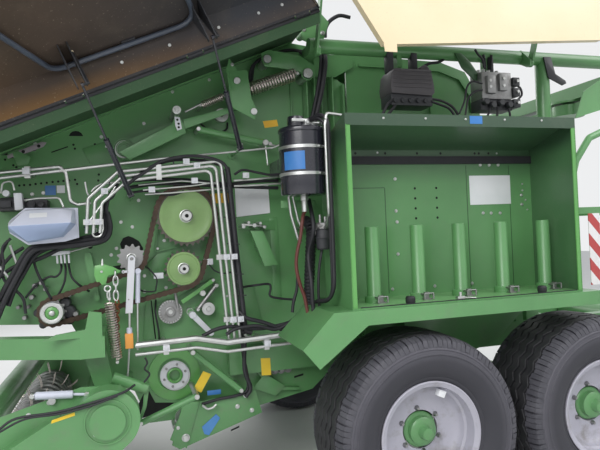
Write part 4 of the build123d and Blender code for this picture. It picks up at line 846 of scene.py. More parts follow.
# Painted highlight: strips of lighter green along the end edges of the boxes' mouths.
box_edge_highlights = Piece("film_box_edges", GREEN_BRIGHT)
for sign in (-1, 1):
    for x0, x1 in ((FILM_BOX_X[0] + 0.5, FILM_BOX_X[0] + 27), (FILM_BOX_X[1] - 27, FILM_BOX_X[1] - 0.5)):
        box_edge_highlights.box(x0, x1, *sorted((sign * (BOX_LIP_Y - 7), sign * BOX_LIP_Y)), 1222, 2158)
box_edge_highlights.finish()

box_plate = Piece("blank_plate_box", WHITE_PLATE, bevel=0.5)
box_plate.box(3912, 4208, -1008.5, -1006.2, 1746, 1927)
box_plate.finish()


# Chain drive.
CHAIN_Y = -760.0
CHAIN_PITCH = 31.75
LINK_WAIST = 11.5
# Each toothed wheel: its axis, the radius of its chain line, its teeth, and the side of the chain it lies on.
DRIVE = ((INPUT_AXIS, 66.0, 11, 1), (IDLER_AXIS, 75.0, 13, -1),
         (PRESSING_AXIS, 170.0, 32, 1), (REVERSING_AXIS, 107.0, 20, 1))


def chain_line(pitch):
    """Points one pitch apart along the chain, with their directions."""
    rings = [(centre, radius + 1.0, hand) for centre, radius, _, hand in DRIVE]
    tangents = []
    for (ca, ra, ha), (cb, rb, hb) in zip(rings, rings[1:] + rings[:1]):
        dx, dz = cb[0] - ca[0], cb[1] - ca[1]
        turn = math.asin((ha * ra - hb * rb) / math.hypot(dx, dz))
        normal = math.atan2(dz, dx) + math.pi / 2 - turn
        tangents.append(((ca[0] + ha * ra * math.cos(normal), ca[1] + ha * ra * math.sin(normal)),
                         (cb[0] + hb * rb * math.cos(normal), cb[1] + hb * rb * math.sin(normal))))
    fine = []
    for i, (start, end) in enumerate(tangents):
        fine += [(start[0] + (end[0] - start[0]) * t / 40, start[1] + (end[1] - start[1]) * t / 40)
                 for t in range(40)]
        (cx, cz), radius, hand = rings[(i + 1) % len(rings)]
        following = tangents[(i + 1) % len(rings)][0]
        a0 = math.atan2(end[1] - cz, end[0] - cx)
        a1 = math.atan2(following[1] - cz, following[0] - cx)
        arc = (a1 - a0) % (2 * math.pi)
        arc -= 2 * math.pi if hand > 0 else 0.0
        fine += [(cx + radius * math.cos(a0 + arc * t / 40), cz + radius * math.sin(a0 + arc * t / 40))
                 for t in range(40)]
    lengths = [math.dist(p, q) for p, q in zip(fine, fine[1:] + fine[:1])]
    total = sum(lengths)
    count = round(total / pitch / 2) * 2
    step = total / count
    places, travelled, i = [], 0.0, 0
    for k in range(count):
        while travelled + lengths[i] < k * step:
            travelled += lengths[i]
            i += 1
        t = (k * step - travelled) / lengths[i]
        p, q = fine[i], fine[(i + 1) % len(fine)]
        places.append((p[0] + (q[0] - p[0]) * t, p[1] + (q[1] - p[1]) * t))
    return places, step


pins, chain_pitch = chain_line(CHAIN_PITCH)
link_plate = Piece("link_plate", CHAIN)
lobe = [(chain_pitch / 2 + 16.0 * math.cos(a), 16.0 * math.sin(a))
        for a in (math.radians(d) for d in range(-75, 76, 30))]
outline = lobe + [(0.0, LINK_WAIST)] + [(-x, z) for x, z in reversed(lobe)] + [(0.0, -LINK_WAIST)]
link_plate.plate(outline, -2.2, 2.2)
link_unit = unit_of(link_plate)
roller = Piece("chain_roller", CHAIN)
roller.lathe([(0, -15), (5, -15), (5, -9.5), (9.6, -9.5), (9.6, 9.5), (5, 9.5), (5, 15), (0, 15)], (0, 0, 0),
             (0, 1, 0), 12)
roller_unit = unit_of(roller)
plates = []
for k, (p, q) in enumerate(zip(pins, pins[1:] + pins[:1])):
    angle = math.atan2(q[1] - p[1], q[0] - p[0])
    for offset in ((-12.5, 12.5) if k % 2 else (-8.0, 8.0)):
        plates.append((((p[0] + q[0]) / 2, CHAIN_Y + offset, (p[1] + q[1]) / 2), (0.0, -angle, 0.0), (1, 1, 1)))
chain_plates = repeated("chain_plates", link_unit, plates, CHAIN)
repeated("chain_rollers", roller_unit, [((x, CHAIN_Y, z), (0, 0, 0), (1, 1, 1)) for x, z in pins], CHAIN)
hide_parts("drive_chain")


def tooth_outline(centre, radius, teeth):
    """A sprocket's outline: a rounded seat between each pair of teeth."""
    x, z = centre
    points = []
    for i in range(teeth):
        for share, lift in ((-0.24, 0.0), (-0.10, 9.0), (0.10, 9.0), (0.24, 0.0), (0.5, -6.0)):
            a = 2 * math.pi * (i + share) / teeth
            points.append((x + (radius + lift - 6) * math.cos(a), z + (radius + lift - 6) * math.sin(a)))
    return points


for (centre, radius, teeth, _), label in zip(DRIVE, ("input", "idler", "pressing", "reversing")):
    disc = Piece(f"sprocket_{label}", DARK_STEEL if radius > 100 else CAST)
    disc.plate(tooth_outline(centre, radius, teeth), CHAIN_Y - 5, CHAIN_Y + 5)
    x, z = centre
    if radius > 100:
        face, inner = Piece(f"sprocket_face_{label}", GREEN_LIGHT), radius * 0.88
        face.lathe([(0, 4.5), (inner, 4.5), (inner, 9), (inner * 0.9, 10), (inner * 0.86, 7), (inner * 0.5, 7),
                    (inner * 0.44, 9),
                    (0, 9)], (x, CHAIN_Y, z), (0, -1, 0), 48)
        face.finish()
    disc.finish()
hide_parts("sprockets")
ring_seat = Piece("drive_ring", WHITE_PLATE)
ring_seat.lathe([(44, -800), (60, -800), (60, -788), (44, -788), (44, -800)], across(INPUT_AXIS), (0, 1, 0), 32)
ring_seat.finish()
shafts = Piece("drive_hubs", ZINC)
for (x, z), radius, _, _ in DRIVE:
    r = 34.0 if radius > 150 else (30.0 if radius > 100 else 22.0)
    shafts.lathe([(r * 0.32, -806), (r * 0.8, -806), (r, -800), (r, -770), (r * 1.2, -768), (r * 1.2, -750),
                  (r * 0.8, WALL_Y),
                  (0, WALL_Y)], (x, 0, z), (0, 1, 0), 28)
shafts.finish()
# The bores of the hub ends as discs of painted shade.
shaft_ends = Piece("drive_hub_ends", PAINTED_HOLE_SHADE)
for (x, z), radius, _, _ in DRIVE[1:]:
    shaft_ends.lathe([(0, -799), (10.5, -799), (10.5, -780), (0, -780)], (x, 0, z), (0, 1, 0), 20)
shaft_ends.finish()


# Springs.
def coil(name, start, end, radius, wire, turns):
    """A close tension spring with a short straight lead at each end."""
    piece = Piece(name, SPRING)
    a, b = Vector(start), Vector(end)
    along = b - a
    length = along.length
    along.normalize()
    side, up = across_axes(along)
    points = []
    steps = int(turns * 12)
    for i in range(steps + 1):
        t = i / steps
        angle = 2 * math.pi * turns * t
        points.append(a + along * (length * (0.06 + 0.88 * t)) + (side * math.cos(angle) + up * math.sin(angle))
                      * (radius - wire))
    lead = along * length * 0.03
    piece.wire([a - along * 8, a + lead, *points, b - lead, b + along * 8], wire, 6)
    return piece.finish()


coil("pickup_spring", (1772, -950, 1315), (1800, -950, 985), 29, 4.2, 23)
press_spring = coil("pressure_spring", (2578, -800, 2468), (2890, -800, 2577), 41, 5.2, 17)
coil("knotter_spring", (2305, -780, 2373), (2446, -780, 2435), 23, 3.6, 12)
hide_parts("tension_springs")
pegs = Piece("spring_pegs", ZINC)
for x, z, y, r in ((1772, 1315, -958, 9), (1800, 985, -958, 9), (2578, 2468, -810, 12), (2890, 2577, -810, 12),
                   (2305, 2373, -786, 7), (2446, 2435, -786, 7)):
    pegs.rod((x, y, z), (x, WALL_Y, z), r, 12, chamfer=2)
pegs.finish()


# Shapes laid out by tables.
def at(point, y):
    """A place from X and Z at a depth, or with its own depth third."""
    return Vector((point[0], point[2] if len(point) > 2 else y, point[1]))


def curved(points, steps=5):
    """A smooth line through points."""
    ends = [points[0] * 2 - points[1], *points, points[-1] * 2 - points[-2]]
    line = []
    for a, b, c, d in zip(ends, ends[1:], ends[2:], ends[3:]):
        for i in range(steps):
            t = i / steps
            line.append(0.5 * (2 * b + (c - a) * t + (2 * a - 5 * b + 4 * c - d) * t * t + (3 * b - a - 3 * c + d)
                               * t ** 3))
    return line + [points[-1]]


def hoses(name, material, rows, body="frame"):
    """Rubber lines: rows of depth, radius and points."""
    piece = Piece(name, material, body)
    for y, radius, points in rows:
        piece.wire(curved([at(p, y) for p in points]), radius)
    return piece.finish()


PIPE_BEND = 22.0


def pipes(name, material, rows, body="frame"):
    """Bent steel lines: rows of depth, radius and points."""
    piece = Piece(name, material, body)
    for y, radius, points in rows:
        piece.tube([at(p, y) for p in points], radius, PIPE_BEND, 9)
    return piece.finish()


def panels(name, material, rows, body="frame", bevel=0.0):
    """Flat plates: rows of two depths and an outline."""
    piece = Piece(name, material, body, bevel=bevel)
    for y0, y1, outline in rows:
        piece.plate(outline, y0, y1)
    return piece.finish()


def discs(name, material, rows, body="frame"):
    """Round parts standing out of the wall: rows of X, Z, two depths and the radius."""
    piece = Piece(name, material, body)
    for x, z, y0, y1, radius in rows:
        piece.drum(x, z, radius, y0, y1, 24, min(2.0, radius * 0.2))
    return piece.finish()


def bolt_set(name, rows, material=ZINC, body="frame", unit=bolt_unit):
    """Bolt heads or holes on a face that looks left: rows of depth, scale and places."""
    places = [((x, y, z), LEFT, (scale, scale, scale)) for y, scale, group in rows for x, z in group]
    return repeated(name, unit, places, material, body)


def box_outline(x0, x1, z0, z1):
    return [(x0, z0), (x1, z0), (x1, z1), (x0, z1)]


# Hood frames, brackets and hinge bolts.
for side in HAND:
    hood_tube = Piece(f"hood_tube_{side}", TUBE_GREY, f"hood_{side}")
    hood_tube.tube([hood_at(side, t, 122, -w) for t, w in ((330, 960), (735, 84), (1464, 84), (1262, 960))], 13.0,
                   90, 12, 8)
    hood_tube.finish()
    seats = Piece(f"hood_brackets_{side}", DARK_PLASTIC, f"hood_{side}", bevel=1.0)
    for t in HOOD_BRACKETS:
        corners = [(143, -84), (143, -212), (20, -176), (-62, -150), (-62, -128)]
        seats.prism([hood_at(side, t + 17, u, v) for u, v in corners], HOOD_ALONG * 5)
        seats.prism([hood_at(side, t - 26, u, v) for u, v in corners], HOOD_ALONG * 5)
    for t, w in ((420, 765), (1306, 765), (1110, 84)):
        seats.prism([hood_at(side, t + dt, 143.5, -w + dw) for dt,
                     dw in ((-34, -16), (34, -16), (34, 16), (-34, 16))],
                    hood_way(side, -12, 0))
    seats.finish()
    strip = hood_way(side, -60, -150).normalized()
    rivets = [(tuple(hood_at(side, t, 75, -38.5)), turn_to(strip), (0.8, 0.8, 0.8))
              for t in (1040, 1290, 1560, 1790, 1930)]
    repeated(f"hood_bolts_{side}", bolt_unit, rivets, ZINC, f"hood_{side}")

# Holes, slots, openings and bolts of the left wall.
WALL_HOLES = [(1319, 1939), (1343, 1941), (1373, 1942), (1401, 1946), (1429, 1949), (1458, 1952), (1488, 1956),
              (1517, 1958),
              (1544, 1961), (1574, 1963), (1605, 1967), (1717, 2167), (1708, 2122), (1704, 2105), (1725, 2110),
              (1707, 2070),
              (1766, 2067), (1732, 1995), (1728, 1961), (1610, 2142), (1603, 2164), (1307, 2039), (1293, 2050),
              (1253, 2081),
              (1615, 1943), (1648, 1698)]
# Holes in the wall as discs of painted shade.
bolt_set("wall_holes", [(WALL_Y, 0.85, WALL_HOLES), (WALL_Y, 1.9, [(2379, 1069), (2210, 1240), (1672, 1590)])],
         PAINTED_HOLE_SHADE,
         unit=hole_shade_unit)
WALL_BOLTS = [(1406, 2168), (1753, 2210), (1778, 2153), (1944, 1843), (1904, 1691), (1842, 1721), (1382, 1890),
              (1439, 1896),
              (1812, 1572), (1783, 1536), (1961, 1406), (2435, 1256), (2430, 1124), (1958, 1316), (2080, 1605),
              (2120, 1618),
              (2240, 1640), (2336, 1652), (2080, 1330), (2500, 1340), (2560, 2170), (2380, 2560), (2160, 2480),
              (1990, 2290)]
bolt_set("wall_bolts", [(WALL_Y, 0.95, WALL_BOLTS)])
# Openings in the wall as dark sheets of painted shade.
panels("wall_openings", PAINTED_HOLE_SHADE, [
    (-656.4, WALL_Y, [(1833, 1596), (1850, 1629), (1880, 1640), (1905, 1630), (1938, 1608), (1959, 1567),
                      (1956, 1486), (1856, 1492)]),
    (-656.4, WALL_Y, [(1581, 2213), (1656, 2213), (1648, 2229), (1634, 2239), (1618, 2242), (1602, 2239),
                      (1589, 2229)]),
    (-656.2, WALL_Y, [(1231, 2104), (1267, 2106), (1267, 2116), (1231, 2114)]),
    (-656.2, WALL_Y, [(1274, 2088), (1300, 2090), (1300, 2100), (1274, 2098)]),
    (-656.2, WALL_Y, [(1488, 2118), (1575, 2150), (1573, 2156), (1486, 2124)]),
    (-656.6, WALL_Y, [(1989, 1261), (1996, 1261), (2014, 1038), (2007, 1038)]),
    (-656.6, WALL_Y, [(2030, 1510), (2052, 1450), (2058, 1452), (2036, 1512)]),
    (-701, -699, [(1780, 1470), (1858, 1482), (1858, 1456), (1780, 1446)]),
])
panels("wall_overlays", GREEN, [
    (-662, WALL_Y, [(1648, 2140), (1800, 2190), (1880, 2065), (1700, 2040)]),
    (-661, WALL_Y, [(2014, 1250), (2100, 1248), (2290, 1345), (2470, 1352), (2500, 1100), (2460, 1020),
                    (2024, 1024)]),
    (-664, WALL_Y, [(2500, 1690), (2745, 1702), (2750, 1640), (2500, 1655)]),
    (-660, WALL_Y, [(2716, 1716), (2768, 1720), (2772, 1200), (2724, 1200)]),
    (-668, WALL_Y, [(2500, 1300), (2600, 1310), (2640, 1100), (2520, 1090)]),
    (-663, WALL_Y, [(1960, 1260), (1990, 1262), (2006, 1040), (1940, 1040)]),
], bevel=1.5)

# Blank plates.
panels("blue_plates", BLUE_PLATE, [
    (-657, WALL_Y, box_outline(1448, 1503, 1883, 1936)), (-762, -755, box_outline(2282, 2360, 705, 731)),
    (-812, -808, [(2238, 546), (2320, 608), (2342, 583), (2276, 495), (2250, 505)]),
    (-1401.6, -1400, box_outline(3673, 3751, 2170, 2213)),
])
panels("amber_plates", AMBER_PLATE, [
    (-657, WALL_Y, [(2361, 1873), (2467, 1877), (2469, 1818), (2363, 1814)]),
    (-657, WALL_Y, [(2700, 2315), (2790, 2326), (2798, 2286), (2711, 2273)]),
])
panels("white_plates", WHITE_PLATE, [
    (-662, WALL_Y, [(2508, 1911), (2716, 1926), (2721, 1747), (2512, 1729)]),
    (-658, WALL_Y, box_outline(1508, 1550, 1894, 1936)),
])
panels("yellow_plates", YELLOW_PLATE, [
    (-746.5, -745, [(2607, 882), (2664, 878), (2666, 777), (2609, 780)]),
    (-758, -755, [(2264, 846), (2309, 823), (2247, 725), (2204, 750)]),
])
bolt_set("plate_nuts", [(WALL_Y, 2.3, [(2713, 780), (2753, 779), (2796, 781)])], CAST)

# Moulded cover over the controls.
cover = Piece("control_cover_shell", GREY_RIDGED, bevel=6.0)
COVER_FOOT = [(1300, 1733), (1375, 1794), (1545, 1799), (1616, 1791), (1620, 1712), (1555, 1646), (1385, 1622),
              (1300, 1682)]
COVER_BROW = [(1305, 1730), (1379, 1786), (1543, 1791), (1606, 1783), (1610, 1713), (1551, 1653), (1389, 1630),
              (1305, 1687)]
shell_points = [(x, -872, z) for x, z in COVER_FOOT] + [(x, -925, z) for x, z in COVER_BROW] + [
    (1314, -996, 1707), (1602, -996, 1716)]
shell_faces = [tuple(range(7, -1, -1))] + [(i, (i + 1) % 8, 8 + (i + 1) % 8, 8 + i) for i in range(8)] + [
    (8, 9, 16), (9, 10, 17, 16), (10, 11, 17), (11, 12, 17), (12, 13, 17), (13, 14, 16, 17), (14, 15, 16),
    (15, 8, 16)]
cover.add(shell_points, shell_faces)
cover = cover.finish()
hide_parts("control_cover")
cover_base = Piece("control_cover_base", GREY_COVER, bevel=3.0)
cover_base.plate([(1294, 1726), (1300, 1676), (1384, 1612), (1560, 1622), (1631, 1640), (1630, 1797), (1376, 1803),
                  (1302, 1740)],
                 -874, -860)
cover_base.box(1420, 1560, -862, WALL_Y, 1650, 1740)
cover_base.finish()
cover_trim = Piece("control_cover_plate", WHITE_PLATE)
cover_trim.prism([(1406, -960.5, 1749), (1488, -960.5, 1751), (1488, -944, 1773), (1406, -944, 1771)],
                 (0, -2.2, -1.5))
cover_trim.finish()

panels("cover_stay", STAY_GREY, [
    (-706, -698, [(1270, 2098), (1446, 2172), (1470, 2168), (1452, 2144), (1375, 2112), (1275, 2080)]),
], bevel=2.0)
# Holes in the stay as discs of painted shade.
bolt_set("cover_stay_holes", [(-706, 1.2, [(1310, 2102), (1352, 2118), (1430, 2148)])], PAINTED_HOLE_SHADE, unit=hole_shade_unit)
discs("cover_stay_pegs", CAST, [(1300, 2098, -700, WALL_Y, 8), (1400, 2134, -700, WALL_Y, 8)])

# Valves, manifold and their lines beside the cover.
controls = Piece("control_valves", WHITE_PAINT, bevel=2.5)
controls.plate([(1316, 1885), (1355, 1884), (1361, 1799), (1321, 1794)], -830, -776)
controls.plate([(1481, 1547), (1482, 1573), (1574, 1573), (1574, 1556)], -762, -726)
controls.drum(1279, 1885, 17, -820, -786)
for x in (1506, 1526, 1544, 1565):
    controls.rod((x, -744, 1552), (x + 2, -744, 1505), 5.5, 10)
controls.rod((1528, -744, 1560), (1528, WALL_Y, 1560), 9, 10)
controls.finish()
dark_valve = Piece("control_valve_block", DARK_PLASTIC, bevel=3.0)
dark_valve.plate([(1228, 1795), (1228, 1862), (1300, 1868), (1471, 1850), (1471, 1800)], -776, WALL_Y)
dark_valve.box(1236, 1300, -800, -740, 1812, 1850)
dark_valve.drum(1395, 1828, 20, -800, -776)
dark_valve.drum(1442, 1826, 16, -806, -776)
dark_valve.finish()
pipes("control_pipes", ZINC, [
    (-850, 6, [(1369, 1845, -790), (1372, 1845), (1435, 1853), (1538, 1854), (1559, 1801), (1560, 1790, -870)]),
    (-806, 7, [(1289, 1615), (1324, 1495)]), (-806, 7, [(1237, 1506), (1302, 1412)]),
    (-806, 5, [(1255, 1885), (1262, 1940), (1310, 1952), (1318, 1900)]),
    (-742, 4.5, [(1574, 1566), (1700, 1598), (1760, 1612), (1779, 1660), (1782, 1740, -760)]),
    (-742, 4.5, [(1640, 1640), (1700, 1640), (1712, 1664), (1712, 1690)]),
])
hoses("control_hoses", HOSE, [
    (-720, 6, [(1524, 1503, -744), (1524, 1480), (1514, 1450), (1491, 1433), (1460, 1435), (1400, 1400),
               (1340, 1330)]),
    (-720, 6, [(1563, 1506, -744), (1566, 1460), (1578, 1420), (1613, 1380), (1660, 1340, -690)]),
    (-722, 6, [(1544, 1505, -744), (1545, 1470), (1536, 1400), (1500, 1330), (1460, 1290)]),
    (-820, 15, [(1773, 1773), (1785, 1686), (1752, 1622), (1630, 1601), (1491, 1596), (1394, 1575), (1324, 1459),
                (1259, 1334), (1215, 1230)]),
    (-812, 13, [(1760, 1770), (1768, 1690), (1740, 1642), (1630, 1622), (1500, 1612), (1380, 1590), (1290, 1450),
                (1225, 1330), (1180, 1240)]),
    (-790, 12, [(1742, 1770), (1748, 1700), (1720, 1655), (1640, 1636), (1500, 1600), (1410, 1560), (1350, 1470),
                (1300, 1380), (1268, 1300)]),
    (-770, 11, [(1650, 1610), (1540, 1590), (1430, 1540), (1300, 1500), (1210, 1440), (1120, 1400)]),
    (-790, 9, [(1350, 1600), (1290, 1560), (1240, 1500), (1180, 1420), (1110, 1360)]),
    (-760, 8, [(1270, 1640), (1232, 1540), (1250, 1430), (1330, 1340), (1345, 1250)]),
    (-850, 7, [(1300, 1650), (1260, 1600), (1262, 1500), (1222, 1400), (1215, 1300)]),
    (-740, 7, [(1380, 1590), (1400, 1480), (1440, 1380), (1475, 1320, -780)]),
])

# Input shaft's guard ring and the couplings round it.
input_disc = Piece("input_disc", ZINC, bevel=1.0)
input_disc.lathe([(34, 800), (57, 800), (60, 803), (60, 812), (55, 816), (36, 816), (34, 812), (34, 800)],
                 across(INPUT_AXIS), (0, -1, 0), 40)
input_disc.lathe([(0, 806), (14, 806), (16, 818), (12, 824), (0, 825)], across(INPUT_AXIS), (0, -1, 0), 16)
input_disc.finish()
input_core = Piece("input_core", GREEN_BRIGHT)
input_core.lathe([(0, 798), (33, 798), (33, 809), (25, 813), (0, 813)], across(INPUT_AXIS), (0, -1, 0), 30)
input_core.finish()
coupling = Piece("input_guard", DARK_PLASTIC, bevel=2.0)
for x, z, r in ((1536, 1290, 30), (1556, 1240, 34), (1400, 1246, 22), (1424, 1180, 20), (1560, 1196, 24)):
    coupling.lathe([(0, 660), (r, 660), (r, 735), (r - 6, 742), (0, 742)], (x, 0, z), (0, -1, 0), 20)
coupling.finish()
discs("input_studs", CAST, [(1368, 1330, -720, WALL_Y, 13), (1350, 1280, -730, WALL_Y, 10),
                            (1386, 1390, -715, WALL_Y, 14),
                            (1420, 1405, -735, WALL_Y, 11), (1440, 1370, -745, WALL_Y, 9),
                            (1560, 1330, -740, WALL_Y, 12),
                            (1590, 1226, -752, WALL_Y, 14), (1330, 1222, -715, WALL_Y, 12),
                            (1300, 1280, -715, WALL_Y, 10)])

# Hook bracket, its chain and the indicator.
hook = Piece("hook_bracket", GREEN_BRIGHT, bevel=1.5)
hook.plate([(1704, 1490), (1745, 1498), (1795, 1480), (1834, 1456), (1826, 1448), (1768, 1434), (1757, 1392),
            (1738, 1388),
            (1726, 1406), (1712, 1404), (1702, 1440)], -941, -933)
hook.rod((1745, -934, 1468), (1745, WALL_Y, 1468), 12, 14)
hook.finish()
hook_pin = Piece("hook_pin", ZINC)
hook_pin.rod((1743, -937, 1490), (1744, -937, 1524), 8, 10, tip=3)
hook_pin.drum(1738, 1458, 7, -946, -940, 12)
hook_pin.finish()


def link_loop(piece, x, y, z, half_width, half_height, wire, turned=False):
    """One link of a chain."""
    line = []
    for i in range(17):
        a = 2 * math.pi * i / 16
        across, rise = half_width * math.cos(a), half_height * math.sin(a)
        line.append(Vector((x, y + across, z + rise)) if turned else Vector((x + across, y, z + rise)))
    piece.wire(line, wire, 6)


links = Piece("hook_links", ZINC)
for x, z, w, h in ((1765, 1368, 15, 15), (1768, 1336, 6, 20), (1806, 1406, 12, 26), (1805, 1330, 12, 27)):
    link_loop(links, x, -948, z, w, h, 4.2)
for x, z in ((1805, 1438), (1806, 1368)):
    link_loop(links, x, -948, z, 10, 22, 4.2, turned=True)
links.finish()
rusty = Piece("spring_chain", RUST)
for k in range(12):
    link_loop(rusty, 1810 - 0.6 * k, -948, 1292 - 21 * k, 9, 16, 4.0, turned=bool(k % 2))
rusty.finish()

indicator = Piece("indicator_trim", WHITE_PAINT, bevel=1.0)
indicator.drum(1846, 1449, 9, -908, -902, 14)
indicator.box(1840, 1872, -906, -901, 1443, 1455)
indicator.finish()
discs("indicator_rings", CAST, [(1846, 1449, -910, -906, 4), (1868, 1300, -908, -905, 4),
                                (1891, 1516, -909, -905, 9)])
pipes("indicator_rods", ZINC, [
    (-903, 6, [(1870, 1232), (1867, 1146)]), (-880, 5, [(1914, 1300), (1905, 1025)]),
    (-903, 5, [(1864, 1060), (1848, 880, -870)]),
])
discs("indicator_cap", GREY_COVER, [(1921, 1447, -896, -862, 16)])
grey_rod = Piece("damper_tube", GREY_COVER)
grey_rod.rod((1921, -880, 1440), (1914, -880, 1276), 13, 16, chamfer=2)
grey_rod.rod((1866, -903, 1151), (1866, -903, 1118), 15, 16, chamfer=2)
grey_rod.finish()
orange = Piece("damper_block", ORANGE_PLATE, bevel=3.0)
orange.box(1842, 1884, -922, -884, 1043, 1122)
orange.finish()

# Levers, clips and cable between the sprockets.
pipes("drive_levers", CAST, [
    (-720, 12, [(2251, 1197), (2364, 1330)]), (-730, 9, [(2123, 1310), (2138, 1215)]),
])
links_white = Piece("drive_link", WHITE_PAINT, bevel=2.0)
links_white.prism([(2208, -756, 1158), (2228, -756, 1184), (2330, -756, 1068), (2310, -756, 1046)], (0, 9, 0))
links_white.drum(2217, 1171, 20, -762, WALL_Y, 24)
links_white.drum(2318, 1060, 17, -760, -742, 24)
links_white.finish()
panels("drive_bar", GREEN_BRIGHT, [(-726, -716, [(2156, 1256), (2168, 1236), (2352, 1350), (2340, 1370)])],
       bevel=1.0)
discs("drive_bar_pegs", ZINC, [(2282, 1290, -742, WALL_Y, 17), (2346, 1362, -735, WALL_Y, 10),
                               (2364, 1330, -738, WALL_Y, 12),
                               (2251, 1197, -738, WALL_Y, 10)])
blocks = Piece("drive_clips", WHITE_PAINT, bevel=2.0)
for x0, x1, z0, z1 in ((2008, 2061, 1393, 1425), (2290, 2343, 1455, 1489)):
    blocks.box(x0, x1, -772, -744, z0, z1)
    blocks.box(x0 + 14, x1 - 14, -745, WALL_Y, z0 + 4, z1 - 4)
    blocks.bolt(((x0 + x1) / 2, -772, (z0 + z1) / 2), (0, -1, 0), 8)
blocks.finish()
hoses("drive_cables", HOSE, [
    (-770, 4, [(1970, 1457, WALL_Y), (1985, 1448), (2023, 1395), (2018, 1345), (2008, 1323), (1952, 1327),
               (1930, 1332, WALL_Y)]),
    (-770, 4, [(2320, 1456), (2350, 1420), (2400, 1400), (2470, 1402, -700)]),
    (-720, 5, [(2020, 1262, WALL_Y), (2012, 1200), (2026, 1090), (2030, 1030, -660)]),
])
panels("drive_edges", GREEN, [
    (-668, WALL_Y, [(2046, 1694), (2053, 1694), (2030, 1548), (2222, 1582), (2222, 1570), (2020, 1538)]),
    (-676, WALL_Y, [(1980, 1480), (2040, 1530), (2120, 1540), (2080, 1425), (2000, 1400)]),
], bevel=0.8)
discs("drive_nuts", ZINC, [(2097, 1192, -706, -694, 22), (2314, 1195, -724, -714, 14),
                           (2040, 1560, -668, WALL_Y, 8)])
hub_ring = Piece("tension_wheel", CAST)
hub_ring.plate(tooth_outline(TENSION_AXIS, 66, 26), -705, -696)
hub_ring.lathe([(30, 695), (30, 712), (24, 714), (24, 708), (12, 708), (12, 695), (30, 695)], across(TENSION_AXIS),
               (0, -1, 0), 28)
hub_ring.finish()

# Hoses and thin pipes round the upper bundle.
hoses("bundle_hoses", HOSE, [
    (-880, 15, [(2421, 2000), (2433, 1958), (2460, 1560), (2491, 1139), (2498, 1079), (2530, 1060)]),
    (-872, 11, [(2400, 1990), (2411, 1900), (2440, 1500), (2468, 1120), (2500, 1050)]),
    (-895, 9, [(1887, 1916), (1930, 1950), (1977, 1979), (2063, 2036), (2198, 2066), (2336, 2054), (2418, 2009),
               (2440, 1900)]),
    (-860, 9, [(1860, 1905), (1940, 1968), (2030, 2020), (2140, 2050), (2300, 2046), (2390, 2020)]),
    (-800, 10, [(1872, 1942), (2040, 1950), (2220, 1942), (2368, 1924), (2470, 1918), (2600, 1930), (2745, 1932)]),
    (-790, 10, [(1866, 1903), (2050, 1925), (2240, 1918), (2408, 1906), (2560, 1898), (2745, 1890)]),
    (-800, 7, [(1896, 1875), (1990, 1885), (2112, 1860), (2190, 1880)]),
    (-850, 10, [(1850, 1960), (1820, 1900), (1790, 1860), (1772, 1800), (1773, 1765)]),
    (-840, 9, [(1826, 1900), (1800, 1850), (1760, 1830), (1752, 1770)]),
    (-870, 7, [(2470, 1965), (2520, 1990), (2600, 1975), (2680, 1960), (2745, 1965)]),
])
pipes("thin_pipes", ZINC, [
    (-830, 4.5, [(1942, 1916), (2177, 1936), (2377, 1916)]),
    (-830, 4.5, [(1965, 1888), (2222, 1906), (2381, 1926)]),
    (-830, 4.5, [(1975, 1863), (2110, 1869), (2437, 1891)]),
    (-850, 6.0, [(2467, 1931), (2600, 1938), (2743, 1952)]),
    (-850, 6.0, [(2468, 1900), (2600, 1903), (2747, 1911)]),
    (-846, 5.0, [(1668, 1935), (1676, 1880), (1690, 1850)]),
    (-870, 5.0, [(1700, 1880), (1716, 1900), (1750, 1920), (1790, 1925), (1846, 1928)]),
    (-880, 5.0, [(1697, 1660), (1706, 1640), (1738, 1642), (1752, 1680), (1750, 1730)]),
    (-888, 4.5, [(1688, 1728), (1742, 1800), (1800, 1870), (1822, 1905)]),
    (-845, 6.0, [(2110, 2062), (2420, 2092), (2700, 2120), (2760, 2140, -900)]),
])
clip_block = Piece("clip_block", WHITE_PAINT, bevel=1.5)
clip_block.box(-17, 17, -15, 15, 0, 26)
clip_block.bolt((0, 0, 26), (0, 0, 1), 8)
clip_unit = unit_of(clip_block)
bolt_set("pipe_clips", [
    (-880, 1.0, [(2199, 2036), (2256, 2014), (2009, 1884), (2240, 1930), (2530, 1956), (1766, 1880), (1390, 1990),
                 (1680, 1719), (1730, 1719)]),
    (-906, 1.0, [(2398, 1500), (2440, 1500), (2420, 1150), (2462, 1150)]),
    (-948, 1.0, [(2050, 1036), (2600, 1008)]),
], WHITE_PAINT, unit=clip_unit)
ties = Piece("hose_ties", HOSE)
for x, z in ((2425, 1870), (2441, 1720), (2455, 1570), (2470, 1400), (2480, 1280)):
    ties.rod((x - 46, -884, z + 3), (x + 26, -896, z - 3), 3.5, 6)
for x, z in ((1790, 1930), (1840, 1978), (2130, 2042), (2300, 2040)):
    ties.rod((x, -884, z - 24), (x + 4, -884, z + 26), 3.5, 6)
ties.finish()

